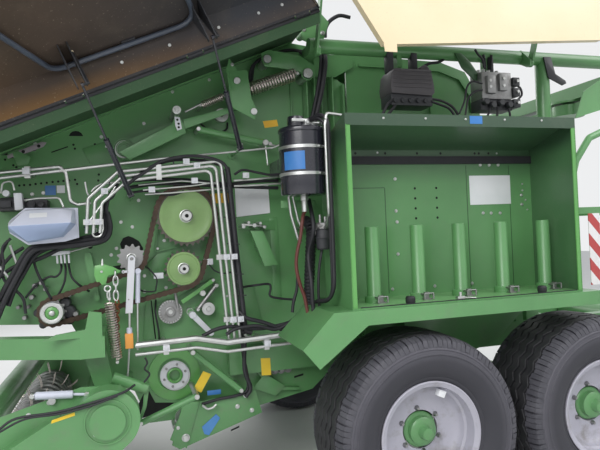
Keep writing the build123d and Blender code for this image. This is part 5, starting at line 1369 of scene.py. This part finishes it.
# The thick low pipe, its elbows and the hoses above it.
pipes("low_main_pipe", ZINC, [
    (-935, 17, [(1896, 1060), (2210, 1068), (2380, 1029), (2760, 1046)]),
])
hoses("low_hoses", HOSE, [
    (-900, 12, [(2464, 1186, -880), (2500, 1150), (2588, 1120), (2660, 1090), (2722, 1062), (2780, 1085),
                (2833, 1122), (2860, 1170)]),
    (-890, 11, [(2250, 1068), (2330, 1100), (2420, 1108), (2500, 1090), (2600, 1082), (2700, 1092), (2790, 1110)]),
    (-905, 10, [(2380, 1068), (2440, 1096), (2560, 1102), (2660, 1072), (2740, 1100), (2830, 1160)]),
    (-800, 7, [(2527, 1303, -660), (2560, 1320), (2656, 1324), (2672, 1300), (2665, 1255), (2720, 1235),
               (2822, 1219)]),
    (-820, 9, [(2487, 1090), (2487, 940), (2508, 800), (2500, 721), (2430, 700), (2337, 693), (2241, 676)]),
    (-835, 12, [(2500, 1060), (2496, 980), (2490, 844), (2520, 740), (2490, 690)]),
    (-930, 5, [(1940, 990), (1950, 960), (1936, 930), (1960, 900), (1930, 860)]),
])
pipes("low_elbows", ZINC, [
    (-950, 12, [(2760, 1046), (2820, 1058), (2853, 1070), (2856, 1150)]),
    (-950, 12, [(2908, 1132), (2906, 1085)]),
    (-900, 8, [(2487, 1060, -900), (2500, 1040), (2520, 1042)]),
    (-840, 7, [(2241, 676), (2270, 650), (2300, 655), (2320, 672)]),
])
discs("low_knobs", CAST, [(2757, 1088, -985, -930, 18), (2050, 1040, -960, -948, 6), (2600, 1012, -960, -948, 6)])

# The rotor's bearing, tubes and plates behind the pick-up.
rotor_ring = Piece("rotor_bearing", WHITE_PAINT, slot="bare_steel")
rotor_ring.lathe([(44, 677), (80, 677), (83, 681), (83, 690), (78, 694), (48, 694), (44, 690), (44, 677)],
                 across(ROTOR_AXIS), (0, -1, 0), 44)
rotor_ring.finish()
rotor_seat = Piece("rotor_seat", GREEN_BRIGHT)
rotor_seat.lathe([(30, 680), (42, 680), (44, 700), (36, 704), (30, 700), (30, 680)], across(ROTOR_AXIS), (0, -1, 0),
                 36)
rotor_seat.lathe([(92, 655), (150, 655), (148, 662), (94, 662), (92, 655)], across(ROTOR_AXIS), (0, -1, 0), 44)
rotor_seat.finish()
discs("rotor_bolts", CAST, [(ROTOR_AXIS[0] + 63 * math.cos(a), ROTOR_AXIS[1] + 63 * math.sin(a), -700, -693, 7)
                            for a in (0.3, 1.35, 2.4, 3.44, 4.49, 5.53)])
# The recess as a dark sheet of painted shade.
panels("lower_recess", PAINTED_HOLE_SHADE, [
    (-656.6, WALL_Y, [(1952, 766), (1995, 672), (2101, 659), (2016, 611), (1911, 591), (1880, 640)]),
])
pipes("lower_tubes", GREEN, [
    (-850, 18, [(2198, 979), (2461, 737)]), (-950, 17, [(1907, 655), (2201, 759)]),
    (-760, 9, [(2092, 552), (2216, 702)]),
])
discs("lower_tube_pegs", ZINC, [(2201, 759, -972, WALL_Y, 14), (2461, 737, -872, WALL_Y, 12),
                                (2198, 979, -872, WALL_Y, 14),
                                (1907, 655, -968, -930, 10), (2092, 552, -775, WALL_Y, 12),
                                (2216, 702, -775, WALL_Y, 10)])
panels("lower_plates", GREEN, [
    (-700, WALL_Y, [(2579, 806), (2600, 812), (2700, 690), (2855, 670), (2855, 655), (2685, 672)]),
    (-706, -700, [(2560, 700), (2640, 780), (2760, 690), (2700, 640)]),
    (-815, -808, [(2060, 500), (2150, 700), (2230, 690), (2150, 440)]),
], bevel=1.0)
bolt_set("lower_bolts", [(-808, 1.3, [(2106, 560), (2445, 635), (2528, 603), (2495, 692)]),
                         (-815, 2.2, [(2146, 500)])])
# Slots as dark sheets of painted shade.
panels("lower_slots", PAINTED_HOLE_SHADE, [
    (-809, -808, [(2401, 498), (2451, 514), (2451, 524), (2401, 508)]),
    (-656.4, WALL_Y, [(2834, 719), (2894, 730), (2894, 742), (2834, 731)]),
])
brick = Piece("step_bracket", GREEN, bevel=2.0)
brick.rod((1772, -900, 897), (1947, -900, 816), 30, 20, chamfer=3)
brick.plate([(1935, 850), (1960, 840), (1938, 718), (1903, 640), (1896, 655), (1920, 730)], -906, -896)
brick.rod((1860, -900, 856), (1860, WALL_Y, 856), 16, 14)
brick.finish()

# Oil tank.
TANK_X, TANK_Y = 2792.0, -1150.0
can = Piece("tank_can", BLACK)
can.lathe([(0, 1816), (112, 1816), (120, 1819), (124, 1828), (124, 1926), (126, 1929), (126, 2066), (124, 2069),
           (124, 2148),
           (129, 2152), (129.5, 2160), (129, 2168), (123, 2176), (104, 2182), (0, 2184)], (TANK_X, TANK_Y, 0),
           (0, 0, 1), 64)
can.lathe([(0, 2180), (44, 2180), (46, 2188), (46, 2228), (43, 2238), (30, 2241), (0, 2241)],
          (TANK_X - 34, TANK_Y - 10, 0), (0, 0, 1), 24)
can.box(TANK_X - 60, TANK_X + 60, TANK_Y + 106, WALL_Y, 1950, 2050)
can = can.finish()
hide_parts("oil_tank")
bands = Piece("tank_bands", ZINC)
for z in (1927.0, 2068.0):
    bands.lathe([(125, z - 9), (128.5, z - 8), (128.5, z + 8), (125, z + 9), (125, z - 9)], (TANK_X, TANK_Y, 0),
                (0, 0, 1), 64)
    for turn in (-22.0, -38.0):
        a = math.radians(turn)
        middle = Vector((TANK_X - 127 * math.sin(a), TANK_Y - 127 * math.cos(a), z))
        bands.rod(middle - Vector((13, -4, 0)), middle + Vector((13, 5, 0)), 6.5, 10, chamfer=1.5)
bands.finish()
tank_neck = Piece("tank_fittings", ZINC, bevel=1.0)
tank_neck.rod((TANK_X, TANK_Y, 1816), (TANK_X, TANK_Y, 1790), 22, 6)
tank_neck.rod((TANK_X, TANK_Y, 1790), (TANK_X, TANK_Y, 1728), 16, 18, chamfer=2)
tank_neck.rod((TANK_X + 22, TANK_Y - 20, 2182), (TANK_X + 22, TANK_Y - 20, 2226), 20, 16, chamfer=2)
tank_neck.rod((TANK_X + 60, TANK_Y - 10, 2182), (TANK_X + 60, TANK_Y - 10, 2212), 15, 14, chamfer=2)
tank_neck.rod((TANK_X + 22, TANK_Y - 20, 2206), (TANK_X + 120, TANK_Y - 20, 2204), 8, 10)
tank_neck.tube([(TANK_X + 100, TANK_Y - 20, 2204), (2884, TANK_Y - 60, 2204), (2884, -1290, 2206)], 5, 20)
tank_neck.bolt((TANK_X + 22, TANK_Y - 40, 2206), (0, -1, 0), 10)
tank_neck.box(TANK_X - 68, TANK_X + 2, TANK_Y - 30, TANK_Y - 58, 2206, 2222)
tank_neck.finish()


def tank_patch(name, material, turn0, turn1, z0, z1, radius=127.6):
    """A thin sheet wrapped on the can."""
    piece = Piece(name, material)
    columns = []
    for i in range(13):
        a = math.radians(turn0 + (turn1 - turn0) * i / 12)
        columns.append((math.sin(a), math.cos(a)))
    points, faces = [], []
    for s, c in columns:
        for r in (radius, radius + 0.6):
            for z in (z0, z1):
                points.append((TANK_X - r * s, TANK_Y - r * c, z))
    for i in range(12):
        k = 4 * i
        faces += [(k + 2, k + 3, k + 7, k + 6), (k, k + 4, k + 5, k + 1), (k + 1, k + 5, k + 7, k + 3),
                  (k, k + 2, k + 6, k + 4)]
    faces += [(0, 1, 3, 2), (48, 50, 51, 49)]
    piece.add(points, faces)
    return piece.finish()


tank_patch("tank_plate", BLUE_PLATE, 12.0, 66.0, 1946.0, 2042.0)
hoses("tank_hoses", HOSE_RED, [
    (-1100, 10, [(2793, 1735, TANK_Y), (2794, 1700), (2778, 1600), (2752, 1500), (2747, 1420), (2765, 1330),
                 (2785, 1270), (2800, 1180)]),
])
corrugated = Piece("corrugated_hose", HOSE)
spine = curved([at(p, -1010) for p in ((2872, 1690, -900), (2867, 1640), (2858, 1500), (2846, 1360), (2840, 1240),
                                       (2850, 1150))], 13)
for k, (near, far) in enumerate(zip(spine, spine[1:])):
    corrugated.rod(near, far, 31.0 if k % 2 else 26.0, 14, tip=26.0 if k % 2 else 31.0)
corrugated.finish()
hoses("side_hoses", HOSE, [
    (-1276, 11, [(2830, 2226, -1160), (2870, 2235, -1240), (2896, 2190), (2900, 2050), (2900, 1800), (2900, 1600),
                 (2899, 1440), (2894, 1330), (2880, 1262, -1230), (2850, 1240, -1120)]),
    (-1250, 10, [(2820, 2212, -1140), (2862, 2222, -1220), (2894, 2170), (2898, 2040), (2898, 1790), (2898, 1590),
                 (2898, 1430), (2894, 1310), (2880, 1250, -1200), (2850, 1232, -1080)]),
    (-1150, 12, [(2850, 1800, -1050), (2838, 1640), (2822, 1500, -1090), (2812, 1350), (2815, 1240), (2820, 1160)]),
    (-1040, 9, [(2770, 1380), (2760, 1300), (2740, 1240), (2730, 1180)]),
    (-1120, 8, [(2895, 1540), (2870, 1420), (2860, 1300), (2862, 1200)]),
])
pipes("side_pipes", ZINC, [
    (-1236, 8, [(3010, 2236), (2893, 2240, -1270), (2880, 2180, -1280), (2880, 1860, -1280), (2882, 1742, -1278),
                (2888, 1712, -1262), (2894, 1660, -1210), (2896, 1636, -1160)]),
    (-1060, 8, [(2730, 1830), (2740, 1717), (2774, 1589), (2790, 1560)]),
    (-1060, 7, [(2752, 1826), (2779, 1688), (2800, 1640)]),
    (-1120, 9, [(2896, 1650), (2862, 1628), (2846, 1600)]),
])
strainer = Piece("filter_bowl", DARK_PLASTIC, bevel=1.0)
strainer.lathe([(0, 1520), (30, 1520), (38, 1528), (40, 1580), (43, 1582), (43, 1590), (40, 1592), (40, 1626),
                (34, 1632), (0, 1632)],
               (2896, -1130, 0), (0, 0, 1), 28)
strainer.finish()
strainer_head = Piece("filter_head", CAST, bevel=2.0)
strainer_head.rod((2896, -1130, 1632), (2896, -1130, 1668), 36, 8, chamfer=3)
strainer_head.rod((2858, -1150, 1650), (2930, -1150, 1650), 12, 10)
for x, y, z in ((2876, -1150, 1690), (2908, -1140, 1700), (2890, -1110, 1712)):
    strainer_head.rod((x, y, 1660), (x, y, z), 8, 8)
strainer_head.box(2884, 2908, -1110, WALL_Y, 1640, 1656)
strainer_head.finish()
panels("tank_bracket", GREEN, [(-1010, -1004, [(2700, 1800), (2900, 1800), (2930, 1740), (2900, 1180), (2880, 1180),
                                               (2880, 1760), (2700, 1760)])],
       bevel=1.0)

# Arms, bosses and brackets above the tank.
discs("upper_bosses", ZINC, [
    (2509, 2506, -862, -853, 20), (2601, 2330, -862, -853, 20), (2160, 2325, -880, WALL_Y, 24),
    (2160, 2325, -886, -880, 12),
    (2704, 2654, -822, WALL_Y, 24), (2952, 2577, -826, WALL_Y, 30), (2952, 2577, -832, -826, 14),
])
upper_rings = Piece("pivot_rings", GREEN)
for r in (60.0, 44.0, 30.0):
    upper_rings.lathe([(r - 5, 739), (r, 739), (r - 1, 748), (r - 4, 748), (r - 5, 739)], (1874, 0, 2130),
                      (0, -1, 0), 36)
for x, z, r in ((2704, 2654, 34.0), (2952, 2577, 40.0)):
    upper_rings.lathe([(r - 6, 806), (r, 806), (r - 1, 815), (r - 5, 815), (r - 6, 806)], (x, 0, z), (0, -1, 0), 28)
upper_rings.finish()
panels("upper_arms", GREEN, [
    (-806, -790, [(2670, 2690), (2715, 2712), (2830, 2700), (2913, 2686), (3012, 2624), (2991, 2570), (2940, 2556),
                  (2900, 2590), (2784, 2607), (2690, 2612)]),
    (-800, -785, [(1846, 2102), (2138, 2261), (2163, 2330), (2205, 2262), (2214, 2211), (1903, 2058)]),
    (-792, -780, [(2200, 2290), (2487, 2370), (2490, 2340), (2210, 2236)]),
    (-851, -845, [(2469, 2637), (2500, 2590), (2546, 2513), (2621, 2341), (2612, 2300), (2590, 2290), (2475, 2355),
                  (2449, 2567)]),
    (-812, -804, [(2922, 2918), (2962, 2940), (3035, 2972), (3105, 2900), (3066, 2794), (2960, 2770),
                  (2920, 2784)]),
], bevel=2.0)
discs("upper_arm_pegs", GREEN, [(2525, 2440, -846, WALL_Y, 18), (2850, 2650, -790, WALL_Y, 22),
                                (2180, 2270, -786, WALL_Y, 24),
                                (2960, 2850, -804, WALL_Y, 24), (2360, 2320, -781, WALL_Y, 12)])
bolt_set("upper_bolts", [(-812, 2.0, [(2976, 2893), (3030, 2920)]),
                         (-812, 1.4, [(2940, 2846), (2944, 2884), (3060, 2830)]),
                         (-851, 1.0, [(2486, 2600)])])
white_bit = Piece("arm_plate", WHITE_PAINT, bevel=1.0)
white_bit.plate([(2146, 2290), (2176, 2286), (2186, 2222), (2160, 2212), (2150, 2240)], -868, -862)
white_bit.finish()
# Holes in the plate as discs of painted shade.
bolt_set("arm_plate_holes", [(-868, 0.9, [(2162, 2272), (2168, 2250), (2168, 2230)])], PAINTED_HOLE_SHADE, unit=hole_shade_unit)
pipes("upper_rods", GREEN, [
    (-762, 20, [(2288, 2240), (2665, 2166)]),
])
pipes("upper_rod_ends", ZINC, [(-762, 9, [(2660, 2167), (2756, 2145, -740)]),
                               (-786, 6, [(2215, 2335), (2310, 2384)]),
                               (-760, 5, [(2683, 2163), (2690, 2080), (2694, 2030)])])
discs("rod_end_blocks", ZINC, [(2683, 2163, -784, WALL_Y, 18), (2712, 2156, -776, -745, 12),
                               (2288, 2240, -785, WALL_Y, 13)])
hoses("upper_hoses", HOSE, [
    (-800, 12, [(3080, 2810), (3084, 2860), (3109, 2906), (3150, 2938), (3190, 2952), (3250, 2944)]),
    (-820, 15, [(3075, 2790, -700), (3067, 2681), (3047, 2525), (3010, 2380), (2975, 2250), (2940, 2200, -900)]),
    (-806, 12, [(3050, 2800, -700), (3046, 2681), (3024, 2525), (2990, 2380), (2955, 2260)]),
    (-700, 10, [(2640, 2560, WALL_Y), (2650, 2650), (2710, 2696), (2800, 2732), (2880, 2752), (2960, 2748)]),
    (-720, 8, [(2620, 2500, WALL_Y), (2626, 2620), (2690, 2684), (2790, 2724)]),
    (-760, 7, [(2700, 2684), (2760, 2708), (2840, 2730), (2900, 2734), (2960, 2700)]),
    (-700, 6, [(2480, 2300, WALL_Y), (2460, 2250), (2380, 2230), (2300, 2290), (2240, 2270, WALL_Y)]),
])
panels("upper_ribs", GREEN, [
    (-680, WALL_Y, [(3080, 2290), (3092, 2290), (3092, 2640), (3080, 2640)]),
    (-680, WALL_Y, [(3140, 2290), (3152, 2290), (3152, 2600), (3140, 2600)]),
    (-674, WALL_Y, [(2880, 2250), (2888, 2250), (2888, 2560), (2880, 2560)]),
], bevel=1.0)

# Hung covers and valves behind the upper tube.
ribbed = Piece("hung_cover", GREY_DARK, bevel=5.0)
ribbed.plate([(3372, 2452), (3384, 2530), (3404, 2556), (3640, 2556), (3656, 2470), (3660, 2420), (3640, 2400),
              (3376, 2410)], -1076, -914)
for k in range(5):
    ribbed.plate([(3392, 2548 - 24 * k), (3642, 2548 - 24 * k), (3642, 2540 - 24 * k), (3392, 2540 - 24 * k)],
                 -1080, -1072)
ribbed.drum(3620, 2560, 34, -1040, -950, 26, 4.0)
ribbed = ribbed.finish()
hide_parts("valve_blocks")
hung_dark = Piece("hung_valves", DARK_PLASTIC, slot="dark_plastic", bevel=3.0)
hung_dark.box(3378, 3650, -1062, -920, 2342, 2412)
hung_dark.box(3400, 3440, -990, -940, 2556, 2680)
hung_dark.box(3560, 3600, -990, -940, 2556, 2680)
for x in (3400, 3450, 3500, 3550, 3600):
    hung_dark.rod((x, -1062, 2372), (x, -1078, 2368), 14, 12, chamfer=2)
hung_dark.box(4100, 4140, -990, -940, 2568, 2680)
hung_dark.finish()
manifold = Piece("hung_manifold", CAST, bevel=3.0)
manifold.box(4006, 4220, -1050, -925, 2400, 2568)
manifold.box(4030, 4090, -1076, -930, 2430, 2540)
manifold.box(4120, 4176, -1072, -930, 2450, 2556)
manifold.finish()
coils = Piece("valve_coils", DARK_PLASTIC, slot="dark_plastic", bevel=2.5)
for x, z in ((4020, 2380), (4070, 2360), (4130, 2376), (4190, 2364)):
    coils.rod((x, -1040, z), (x, -1078, z), 22, 6, chamfer=3)
for z0 in (2350, 2420, 2486):
    coils.box(4226, 4276, -1060, -940, z0, z0 + 52)
coils.box(4000, 4226, -1040, -930, 2332, 2400)
coils.finish()
hung_nuts = Piece("valve_fittings", ZINC)
for x, z in ((4018, 2590), (4052, 2596), (4090, 2592), (4150, 2590), (4190, 2580), (4204, 2560)):
    hung_nuts.rod((x, -1000, 2540), (x, -1000, z), 11, 6)
for x, z in ((4050, 2470), (4050, 2508), (4148, 2480), (4148, 2524), (4250, 2446), (4250, 2376), (4250, 2512)):
    hung_nuts.rod((x, -1050, z), (x, -1079, z), 10, 6)
hung_nuts.finish()
hoses("valve_hoses", HOSE, [
    (-1060, 9, [(3385, 2370), (3350, 2340), (3320, 2290), (3270, 2250)]),
    (-1050, 9, [(3420, 2360), (3380, 2310), (3330, 2262), (3280, 2236)]),
    (-1060, 8, [(3640, 2370), (3700, 2352), (3760, 2330), (3800, 2280), (3810, 2236)]),
    (-1040, 8, [(3650, 2390), (3720, 2380), (3790, 2350), (3830, 2300), (3850, 2236)]),
    (-1060, 7, [(4020, 2590), (4010, 2640), (3980, 2670), (3960, 2700)]),
    (-1000, 8, [(4070, 2600), (4068, 2650), (4060, 2690)]),
    (-1000, 8, [(4112, 2598), (4116, 2650), (4120, 2690)]), (-1020, 7,
                                                             [(4280, 2500), (4310, 2480), (4318, 2440),
                                                              (4290, 2410)]),
    (-1050, 7, [(4060, 2350), (4040, 2300), (4000, 2262), (3940, 2232)]),
    (-1040, 7, [(4120, 2350), (4110, 2290), (4080, 2240)]),
    (-1050, 7, [(4190, 2350), (4200, 2290), (4180, 2236)]), (-1060, 6,
                                                             [(4000, 2450), (3950, 2440), (3900, 2400),
                                                              (3880, 2330), (3860, 2240)]),
    (-1060, 6, [(4000, 2490), (3930, 2500), (3890, 2460), (3870, 2380), (3830, 2300)]),
    (-960, 9, [(3640, 2600), (3700, 2630), (3760, 2640), (3800, 2660)]),
])
# The bracket under the lid is in the shaded green, as painted shade.
panels("hung_brackets", GREEN_SHADE, [
    (-1004, -994, [(3854, 2690), (3900, 2690), (3961, 2639), (4042, 2530), (3998, 2515), (3900, 2600)]),
], bevel=1.5)
panels("lid_stop", DARK_PLASTIC, [
    (-1006, -996, [(4513, 2698), (4544, 2562), (4653, 2516), (4684, 2530), (4678, 2548), (4600, 2590),
                   (4570, 2700)]),
], bevel=1.5)

# Film boxes: bolts in the lips, latches, sills and the seams of the back panel.
for side in HAND:
    sign = HAND[side]
    turn = turn_to((0, sign, 0))
    lip = [(x, 1400.2 * sign, z) for x, z in ((3160, 2192), (3404, 2194), (3647, 2194), (3895, 2196), (4140, 2196))]
    repeated(f"box_lip_bolts_{side}", bolt_unit, [(p, turn, (0.6, 0.6, 0.6)) for p in lip], ZINC)
    latch = Piece(f"box_latch_{side}", ZINC, bevel=1.0)
    latch.box(3556, 3600, *sorted((sign * 1366, sign * 1392)), BOX_FLOOR_Z, 1240)
    latch.rod((3578, sign * 1380, 1240), (3578, sign * 1380, 1262), 8, 12, chamfer=2)
    latch.rod((3600, sign * 1386, 1232), (3668, sign * 1390, 1226), 4, 8)
    latch.finish()
    strip_seal = Piece(f"box_sill_{side}", HOSE)
    strip_seal.box(2990, 4330, *sorted((sign * (BOX_LIP_Y - 4), sign * BOX_LIP_Y)), BOX_FLOOR_Z, 1226)
    strip_seal.finish()
back_marks = Piece("box_back_seams", GREEN_SHADE)
for x0, x1, z0, z1 in ((3335, 3339, 1240, 1860), (2990, 3335, 1860, 1864), (3890, 3894, 1240, 1990),
                       (4200, 4204, 1240, 1990)):
    back_marks.box(x0, x1, BOX_BACK_Y - 2, BOX_BACK_Y, z0, z1)
back_marks.finish()
bolt_set("box_back_bolts", [(BOX_BACK_Y, 0.6, [(4300, 1870), (4300, 1830), (4320, 1768), (4330, 1706), (4120, 2066),
                                               (3300, 2070)])])

# Pick-up: cables, shields, damper, drum and tines.
hoses("pickup_cable", HOSE, [
    (-1212, 6, [(1262, 772), (1291, 790), (1361, 828), (1530, 835), (1668, 856), (1820, 888), (1880, 905, -1150)]),
    (-1216, 5, [(1262, 760), (1300, 782), (1400, 822), (1540, 826), (1680, 846), (1800, 878)]),
], body="pickup")

panels("pickup_marks", YELLOW_PLATE, [
    (-1201.6, -1200, [(1506, 797), (1503, 782), (1607, 806), (1606, 821)]),
], "pickup")
bolt_set("pickup_bolts", [(-1200, 1.3, [(1697, 706), (1640, 560), (1150, 300), (1330, 300)]),
                          (-1083, 1.2, [(1885, 800), (1391, 800), (1484, 850)])], body="pickup")
shield_trim = Piece("pickup_boss_rings", GREEN, "pickup")
shield_trim.lathe([(0, 1199), (50, 1199), (50, 1208), (46, 1213), (0, 1213)], (1751, 0, 770), (0, -1, 0), 36)
for axis, r in ((PICKUP_PIVOT, 108.0), (REEL_AXIS, 70.0)):
    shield_trim.lathe([(r - 8, 1199), (r, 1199), (r - 1, 1206), (r - 7, 1206), (r - 8, 1199)], across(axis),
                      (0, -1, 0), 36)
shield_trim.finish()
damper = Piece("pickup_damper", GREY_COVER, "pickup")
damper.rod((1425, -1096, 892), (1593, -1096, 880), 19, 18, chamfer=3)
damper.rod((1410, -1096, 893), (1425, -1096, 892), 11, 12)
damper.rod((1593, -1096, 880), (1660, -1096, 872), 7, 10)
damper.finish()
discs("pickup_damper_pins", ZINC, [(1412, 893, -1112, -1083, 12), (1655, 872, -1106, -1083, 12),
                                   (1498, 860, -1108, -1083, 18)],
      body="pickup")
reel = Piece("reel_drum", CAST, "pickup_reel")
reel.lathe([(0, -1061), (24, -1061), (24, -1050), (150, -1050), (150, -1046), (146, -1040), (146, 1040),
            (150, 1046), (150, 1050),
            (24, 1050), (24, 1061), (0, 1061)], across(REEL_AXIS), (0, 1, 0), 40)
for i in range(17):
    y = -960.0 + 120.0 * i
    reel.lathe([(146, y - 22), (158, y - 20), (158, y + 20), (146, y + 22), (146, y - 22)], across(REEL_AXIS),
               (0, 1, 0), 32)
reel = reel.finish()
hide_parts("pickup_reel")
tine = Piece("reel_tine", SPRING)
for y in (-24.0, 24.0):
    tine.wire(curved([Vector(p) for p in ((0, 0, 140), (0, y * 0.6, 152), (4, y, 166), (0, y, 200), (-10, y, 238))],
                     3), 3.2, 5)
tine_unit = unit_of(tine)
rows = []
for i in range(18):
    y = -1010.0 + 2020.0 * i / 17
    for k in range(4):
        a = math.radians(90 * k + 22.5 * (i % 4))
        rows.append(((REEL_AXIS[0], y, REEL_AXIS[1]), (0.0, a, 0.0), (1, 1, 1)))
repeated("reel_tines", tine_unit, rows, SPRING, "pickup_reel")

# Levers, plates and folded ribs that stand off the left wall.
brackets = panels("wall_levers", GREEN, [
    (-808, -800, [(2070, 466), (2133, 680), (2553, 714), (2589, 582), (2113, 437)]),
    (-808, -760, [(2564, 1640), (2637, 1638), (2720, 1436), (2640, 1429)]),
    (-853, -845, [(2460, 2556), (2571, 2572), (2607, 2282), (2481, 2349)]),
    (-708, -700, [(1299, 2110), (1322, 2123), (1387, 2090), (1376, 2047), (1320, 2040)]),
], bevel=1.5)
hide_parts("wall_brackets")
discs("wall_lever_pegs", GREEN, [(2200, 620, -800, WALL_Y, 22), (2480, 640, -800, WALL_Y, 22),
                                 (2640, 1540, -762, WALL_Y, 26),
                                 (2525, 2395, -845, WALL_Y, 22), (1340, 2082, -700, WALL_Y, 14)])
ribs = Piece("folded_ribs", GREEN, bevel=2.0)
for x0, x1, z0, z1 in ((2962, 3030, 2250, 2655), (3130, 3222, 2250, 2590)):
    ribs.plate([(x0, z0), (x1, z0), (x1, z1 - 40), (x1 - 20, z1), (x0, z1)], -664, WALL_Y)
    ribs.box(x0, x0 + 8, -750, WALL_Y, z0, z1)
    ribs.box(x1 - 8, x1, -720, WALL_Y, z0, z1 - 40)
ribs.finish()
knot = Piece("lever_fittings", ZINC, bevel=1.0)
for x, z, r in ((2530, 1668, 13), (2562, 1690, 10), (2596, 1672, 14), (2632, 1684, 10), (2656, 1660, 11)):
    knot.drum(x, z, r, -776, WALL_Y, 8, 2.0)
knot.rod((2520, -768, 1680), (2668, -768, 1664), 7, 10)
knot.finish()

# Plates between the wheels, on the chassis rails.
for side in HAND:
    y = HAND[side] * 748.0
    liner = Piece(f"wheel_liner_{side}", GREEN, bevel=1.0)
    liner.prism([(3520, y, 1205), (4520, y, 1205), (4440, y, 1010), (4250, y, 850), (3900, y, 740), (3700, y, 800),
                 (3560, y, 980)],
                (0, HAND[side] * 6, 0))
    liner.finish()

# Seals along the hoods' hinges.
seals = Piece("hinge_seals", HOSE)
for side in HAND:
    corners = [HINGE_A + Vector((0.0, HAND[side] * y, 0.0)) + HOOD_UP * v
               for y, v in ((1184, -15), (1194, -15), (1194, 0), (1190, 2), (1190, 8), (1184, 8))]
    seals.prism(corners, HOOD_ALONG * 2122)
seals.finish()

# Wound film on the wrapper's dispensers.
rolls = Piece("film_rolls", FILM_WRAP, "wrapper")
cores = Piece("film_roll_cores", GREY_DARK, "wrapper")
stretch = Piece("stretch_rollers", ZINC, "wrapper")
for hand in (1, -1):
    x, y = 5600 + 180 * hand, 1120.0 * hand
    rolls.lathe([(40, 1172), (112, 1172), (119, 1178), (120, 1190), (120, 1880), (119, 1892), (112, 1898),
                 (40, 1898), (40, 1172)],
                (x, y, 0), (0, 0, 1), 56)
    cores.lathe([(26, 1160), (40, 1160), (40, 1910), (26, 1910), (26, 1160)], (x, y, 0), (0, 0, 1), 28)
    cores.lathe([(0, 1160), (60, 1160), (58, 1170), (26, 1172), (24, 1890), (14, 1905), (0, 1905)], (x, y, 0),
                (0, 0, 1), 28)
    stretch.lathe([(0, 1160), (10, 1160), (10, 1176), (24, 1178)]
                  + [(24 if k % 2 else 22.6, 1180 + 14 * k) for k in range(51)]
                  + [(24, 1892), (10, 1894), (10, 1910), (0, 1910)], (5600 + 75 * hand, 1110 * hand, 0), (0, 0, 1),
                  24)
rolls = rolls.finish()
cores.finish()
stretch.finish()
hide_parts("film_dispensers")


# View, light and floor.
scene = bpy.context.scene
scene.view_settings.view_transform = "Standard"

yaw, pitch, roll = (math.radians(turn) for turn in (CAMERA_YAW, CAMERA_PITCH, CAMERA_ROLL))
ahead = Vector((math.sin(yaw) * math.cos(pitch), math.cos(yaw) * math.cos(pitch), math.sin(pitch)))
level = Vector((math.cos(yaw), -math.sin(yaw), 0.0))
top = level.cross(ahead)
right = level * math.cos(roll) + top * math.sin(roll)
up = top * math.cos(roll) - level * math.sin(roll)
camera = bpy.data.objects.new("camera", bpy.data.cameras.new("camera"))
camera.data.sensor_width = 36.0
camera.data.lens = CAMERA_LENS
camera.matrix_world = Matrix.Translation(CAMERA_AT) @ Matrix((right, up, -ahead)).transposed().to_4x4()
scene.collection.objects.link(camera)
scene.camera = camera

floor_shader = Shader("pale_floor", Roughness=0.8)
floor_shader.set("Base Color", floor_shader.mix(floor_shader.noise(3.0), (0.70, 0.70, 0.69), (0.76, 0.76, 0.75)))
ground = bpy.data.meshes.new("floor")
FLOOR_LOW, FLOOR_HIGH = -20.0, 26.0
ground.from_pydata([(FLOOR_LOW, FLOOR_LOW, 0), (FLOOR_HIGH, FLOOR_LOW, 0), (FLOOR_HIGH, FLOOR_HIGH, 0),
                    (FLOOR_LOW, FLOOR_HIGH, 0)], [], [(0, 1, 2, 3)])
floor = bpy.data.objects.new("floor", ground)
ground.materials.append(floor_shader.material)
scene.collection.objects.link(floor)

world = bpy.data.worlds.new("studio")
scene.world = world
world.use_nodes = True
tree = world.node_tree
tree.nodes.clear()
rays = tree.nodes.new("ShaderNodeLightPath")
ambient, seen = tree.nodes.new("ShaderNodeBackground"), tree.nodes.new("ShaderNodeBackground")
ambient.inputs["Color"].default_value = (0.93, 0.96, 1.0, 1.0)
ambient.inputs["Strength"].default_value = 0.62
seen.inputs["Color"].default_value = (0.90, 0.91, 0.92, 1.0)
seen.inputs["Strength"].default_value = 0.95
either, both_rays = tree.nodes.new("ShaderNodeMath"), tree.nodes.new("ShaderNodeMath")
either.operation, both_rays.operation = "MAXIMUM", "MAXIMUM"
blend_node, out = tree.nodes.new("ShaderNodeMixShader"), tree.nodes.new("ShaderNodeOutputWorld")
tree.links.new(rays.outputs["Is Camera Ray"], either.inputs[0])
tree.links.new(rays.outputs["Is Transmission Ray"], either.inputs[1])
tree.links.new(either.outputs[0], both_rays.inputs[0])
tree.links.new(rays.outputs["Is Glossy Ray"], both_rays.inputs[1])
tree.links.new(both_rays.outputs[0], blend_node.inputs[0])
tree.links.new(ambient.outputs[0], blend_node.inputs[1])
tree.links.new(seen.outputs[0], blend_node.inputs[2])
tree.links.new(blend_node.outputs[0], out.inputs[0])


def lamp(name, at, target, size, power):
    data = bpy.data.lights.new(name, "AREA")
    data.shape, data.size, data.energy = "SQUARE", size, power
    obj = bpy.data.objects.new(name, data)
    look = (Vector(target) - Vector(at)).to_track_quat("-Z", "Y")
    obj.matrix_world = Matrix.Translation(at) @ look.to_matrix().to_4x4()
    scene.collection.objects.link(obj)


# Each lamp: its name, its place, what it looks at, its size in metres and its power in watts.
for row in (("key", (-1.5, -7.0, 6.0), (2.8, 0.0, 1.2), 5.0, 495.0),
            ("fill", (8.5, -4.2, 7.0), (3.2, 0.0, 1.2), 5.0, 290.0),
            ("back", (3.0, 7.0, 6.5), (3.0, 0.0, 1.5), 6.0, 300.0)):
    lamp(*row)
